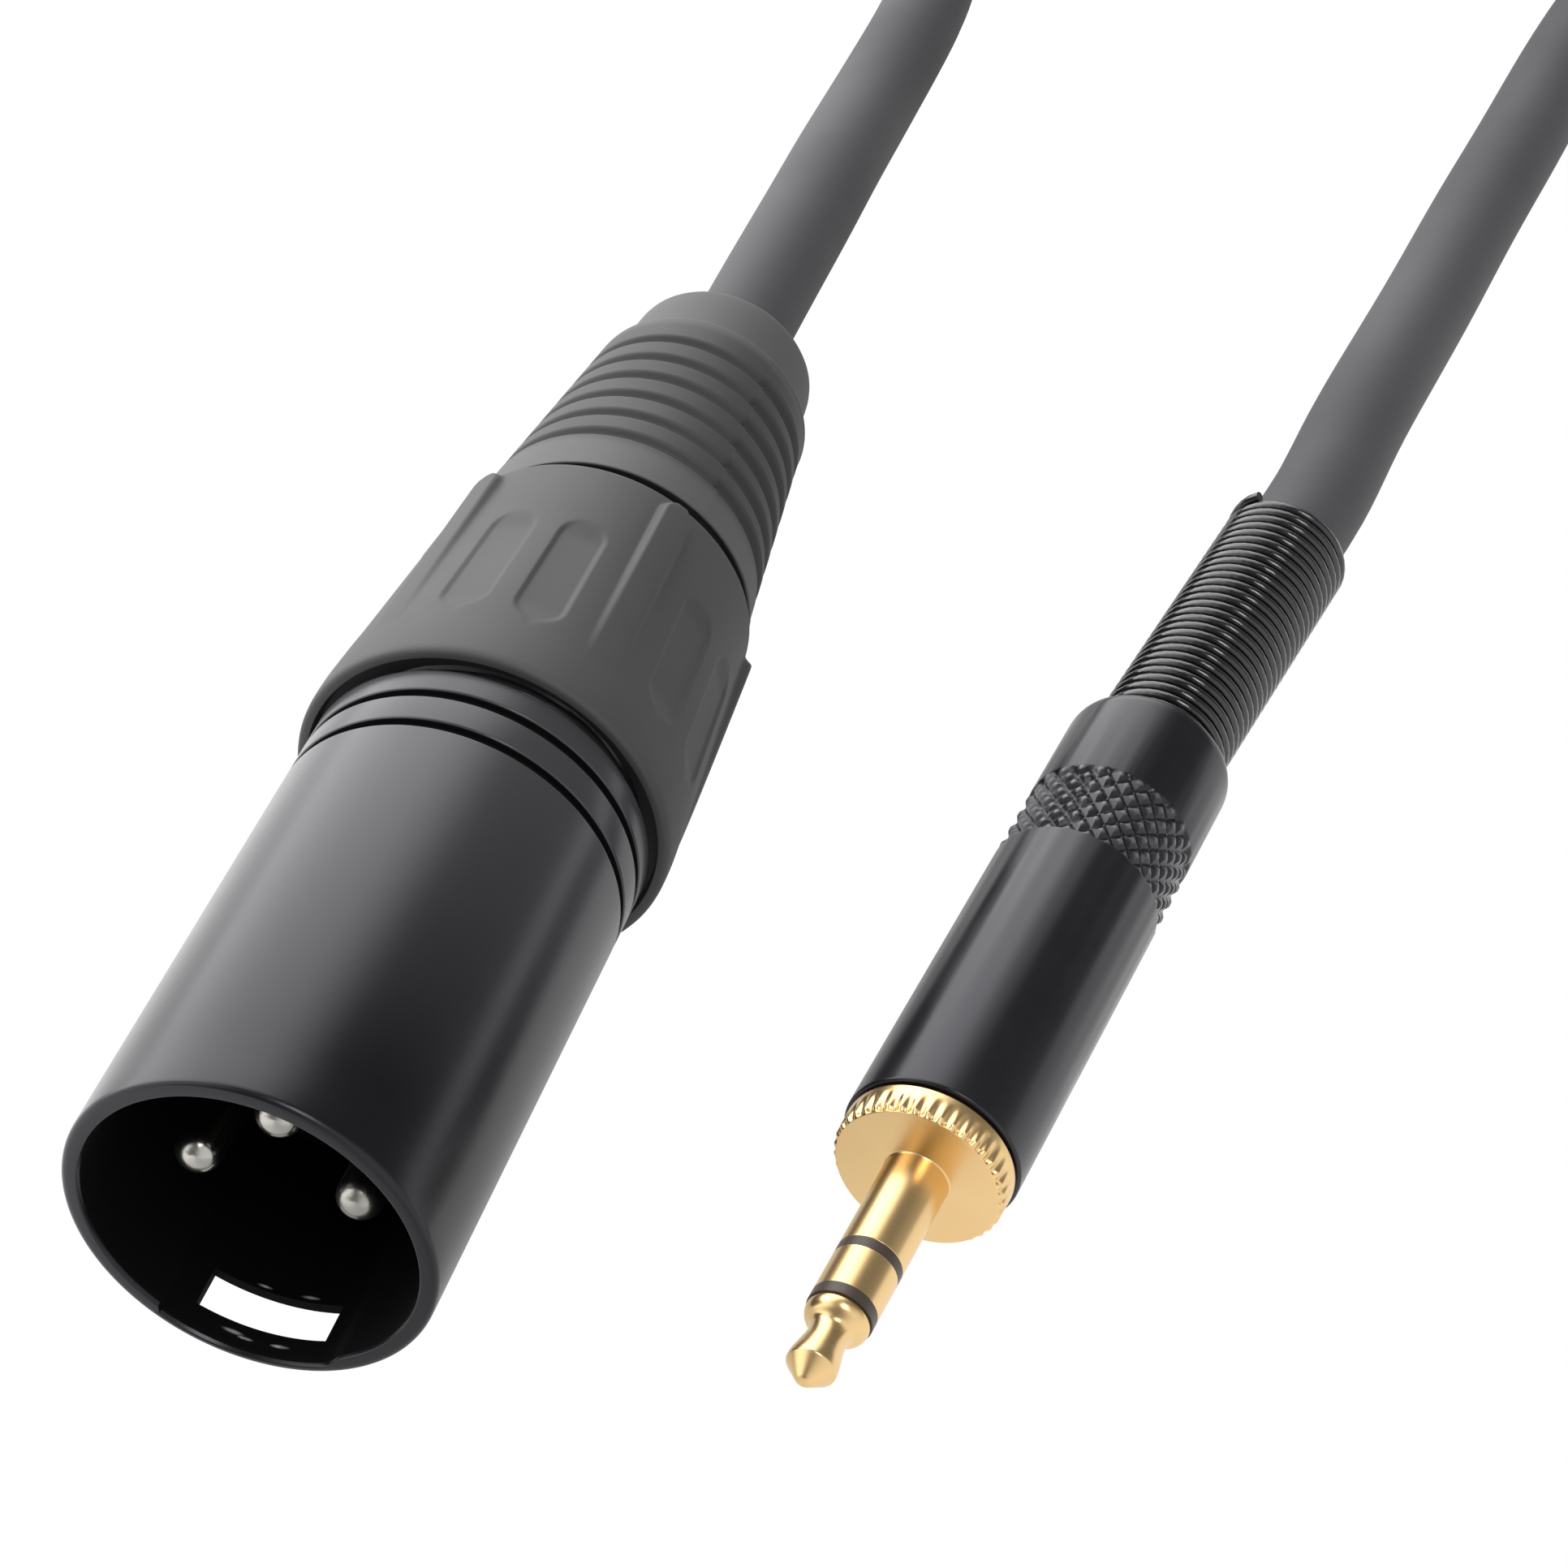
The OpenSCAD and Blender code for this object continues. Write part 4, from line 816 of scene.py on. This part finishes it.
coolSheen = {"Specular_Tint": (0.93, 0.92, 1.0, 1.0)}
shellPaint = makeMaterial("satinBlack", (0.002, 0.002, 0.003), (0.004, 0.004, 0.005), 0.25, spread=0.05,
                          grain={"Fine": 4000.0, "Depth": 0.000003}, Specular_IOR_Level=0.42, **coolSheen)
bootRubber = makeMaterial("bootRubber", (0.068, 0.068, 0.07), (0.078, 0.078, 0.08), 0.6,
                          grain={"Fine": 5000.0, "Depth": 0.00001})
# flat black with little shine for the shell's hollows: painted shade, which also carries the painted glints
shadeAndGlintPaint = makeMaterial("mouthShadeAndGlints", (0.001, 0.001, 0.001), (0.002, 0.002, 0.002), 0.8,
                          grain={"Fine": 3000.0}, Specular_IOR_Level=0.1)
barrelPaint = makeMaterial("barrelBlack", (0.006, 0.006, 0.0075), (0.009, 0.009, 0.011), 0.25,
                           turned={"Axis": jackBack, "Lines": 12000.0, "Depth": 0.000002},
                           Specular_IOR_Level=0.44, **coolSheen)
finishes = {
    # the shell's rear band is painted a lighter grey, a painted sheen
    "shell": shadedBy("paintedSheen", (0.042, 0.042, 0.045), shellPaint),
    # the shell's hollows: painted shade with painted glints
    "mouth": addPaintedGlints(shadeAndGlintPaint),
    "nut": makeMaterial("nutPlastic", (0.045, 0.045, 0.046), (0.053, 0.053, 0.053), 0.6,
                        grain={"Fine": 5000.0, "Depth": 0.00001}),
    # the boot's grooved stretch is painted darker, painted shade
    "boot": shadedBy("shade", (0.038, 0.038, 0.04), bootRubber),
    "cable": makeMaterial("cableJacket", (0.056, 0.056, 0.06), (0.047, 0.047, 0.051), 0.72,
                          grain={"Fine": 3500.0, "Broad": 60.0, "Depth": 0.00001}),
    # the knurl's tips are painted lighter, a painted highlight
    "barrel": shadedBy("shade", (0.12, 0.12, 0.13), barrelPaint),
    "spring": makeMaterial("springBlack", (0.006, 0.006, 0.007), (0.01, 0.01, 0.011), 0.2, coat=0.5),
    "gold": goldMaterial(),
    "band": makeMaterial("bandPlastic", (0.06, 0.045, 0.035), (0.05, 0.035, 0.025), 0.4),
    "insert": makeMaterial("insertPlastic", (0.006, 0.006, 0.006), (0.008, 0.008, 0.008), 0.6),
    "silver": makeMaterial("silverPlate", (0.5, 0.49, 0.45), (0.38, 0.37, 0.34), 0.24, metallic=1.0),
    "bronze": makeMaterial("tinnedBronze", (0.7, 0.62, 0.45), (0.6, 0.5, 0.35), 0.35, metallic=1.0),
    "natural": makeMaterial("naturalPlastic", (0.7, 0.7, 0.66), (0.62, 0.61, 0.56), 0.5, Subsurface_Weight=0.05),
    "washer": makeMaterial("washerBoard", (0.35, 0.22, 0.12), (0.28, 0.17, 0.09), 0.7),
    "copper": makeMaterial("copperStrand", (0.75, 0.4, 0.22), (0.6, 0.3, 0.16), 0.35, metallic=1.0,
                           turned={"Axis": (0.6, 0.8, 0.0), "Lines": 5000.0, "Depth": 0.0001}),
    "red": makeMaterial("redSleeve", (0.5, 0.03, 0.02), (0.42, 0.025, 0.02), 0.35),
    "white": makeMaterial("whiteSleeve", (0.75, 0.75, 0.7), (0.68, 0.67, 0.62), 0.35),
    "tie": makeMaterial("tieTape", (0.012, 0.012, 0.013), (0.02, 0.02, 0.021), 0.85,
                        grain={"Fine": 3000.0, "Depth": 0.00015}),
}
nodeFinishes = {
    "xlr_insert": "insert", "xlr_ground_contact": "bronze", "xlr_chuck": "natural", "xlr_wire_shield": "copper",
    "xlr_wire_hot": "red", "xlr_wire_cold": "white", "xlr_jacket_end": "cable", "jack_ring": "gold",
    "jack_front_insulator": "band", "jack_rear_insulator": "band", "jack_lug_washers": "washer",
    "jack_ring_lug": "bronze", "jack_tip_lug": "bronze", "jack_liner": "natural", "jack_wire_shield": "copper",
    "jack_wire_hot": "red", "jack_wire_cold": "white", "jack_jacket_end": "cable"}


def paint(piece, finish):
    if not piece.material_slots:
        piece.data.materials.append(finishes[finish])
    for slot in piece.material_slots:
        slot.material = finishes[finish]


for nodeName, finish in nodeFinishes.items():
    paint(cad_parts[nodeName], finish)
for piece, finish in ((shellObject, "shell"), (nutObject, "nut"), (bootObject, "boot"), (cableObject, "cable"),
                      (barrelObject, "barrel"), (springObject, "spring"), (tieObject, "tie"),
                      (tipObject, "gold"), (sleeveObject, "gold"), (clampObject, "gold")):
    paint(piece, finish)
for piece in pinObjects:
    paint(piece, "silver")
shellObject.data.materials.append(finishes["mouth"])
print("materials set")

# floor and light. The floor glows evenly to the camera; what it casts on the part grows to the left and the right
floorLight = {"reach": 6.0, "left": (0.005, -0.03), "leftLevel": (0.72, 1.5), "right": (0.012, 0.036),
              "rightLevel": (0.0, 0.38)}
skyLight = 0.2
# each panel: direction it hangs in, cosines of its soft outer and inner edge, brightness
panels = [((-0.62, 0.62, 0.48), 0.55, 0.93, 3.0),
          ((-0.9, -0.2, 0.4), 0.6, 0.95, 1.6),
          ((0.29, -0.18, 0.94), 0.984, 0.995, 8.0),
          ((0.26, -0.45, 0.85), 0.984, 0.995, 6.0),
          ((0.85, -0.5, 0.12), 0.4, 0.95, 0.8)]


def makeFloor():
    f = floorLight
    reach = f["reach"]
    plane = bpy.data.meshes.new("floor")
    plane.from_pydata([(-reach, -reach, 0), (reach, -reach, 0), (reach, reach, 0), (-reach, reach, 0)], [],
                      [(0, 1, 2, 3)])
    floor = bpy.data.objects.new("floor", plane)
    bpy.context.scene.collection.objects.link(floor)
    material = bpy.data.materials.new("floorWhite")
    material.use_nodes = True
    tree = material.node_tree
    tree.nodes.clear()
    path = addNode(tree, "ShaderNodeLightPath")
    spot = addNode(tree, "ShaderNodeSeparateXYZ", {0: addNode(tree, "ShaderNodeTexCoord").outputs["Object"]})
    ramps = [addNode(tree, "ShaderNodeMapRange",
                     {"Value": spot.outputs["X"], "From Min": f[side][0], "From Max": f[side][1],
                      "To Min": f[side + "Level"][0], "To Max": f[side + "Level"][1]},
                     interpolation_type="SMOOTHSTEP").outputs[0] for side in ("left", "right")]
    cast = addNode(tree, "ShaderNodeMath", {0: ramps[0], 1: ramps[1]}, operation="ADD")
    strength = addNode(tree, "ShaderNodeMix",
                       {"Factor": path.outputs["Is Camera Ray"], "A": cast.outputs[0], "B": 1.0},
                       data_type="FLOAT")
    glow = addNode(tree, "ShaderNodeEmission", {"Color": (1, 1, 1, 1), "Strength": strength.outputs[0]})
    tree.links.new(glow.outputs[0], addNode(tree, "ShaderNodeOutputMaterial").inputs[0])
    plane.materials.append(material)


def makeWorld():
    world = bpy.data.worlds.new("studio")
    bpy.context.scene.world = world
    world.use_nodes = True
    tree = world.node_tree
    tree.nodes.clear()
    heading = addNode(tree, "ShaderNodeTexCoord").outputs["Generated"]
    total = addNode(tree, "ShaderNodeValue").outputs[0]
    total.default_value = skyLight
    for direction, edge, full, level in panels:
        toward = addNode(tree, "ShaderNodeVectorMath", {0: heading, 1: Vector(direction).normalized()},
                         operation="DOT_PRODUCT")
        panel = addNode(tree, "ShaderNodeMapRange",
                        {"Value": toward.outputs["Value"], "From Min": edge, "From Max": full, "To Max": level},
                        interpolation_type="SMOOTHSTEP")
        total = addNode(tree, "ShaderNodeMath", {0: total, 1: panel.outputs[0]}, operation="ADD").outputs[0]
    path = addNode(tree, "ShaderNodeLightPath")
    seen = addNode(tree, "ShaderNodeMix", {"Factor": path.outputs["Is Camera Ray"], "A": total, "B": 1.0},
                   data_type="FLOAT")
    sky = addNode(tree, "ShaderNodeBackground", {"Color": (1, 1, 1, 1), "Strength": seen.outputs[0]})
    tree.links.new(sky.outputs[0], addNode(tree, "ShaderNodeOutputWorld").inputs[0])


makeFloor()
makeWorld()
bpy.context.scene.view_settings.view_transform = "Standard"
print("stage and light set")
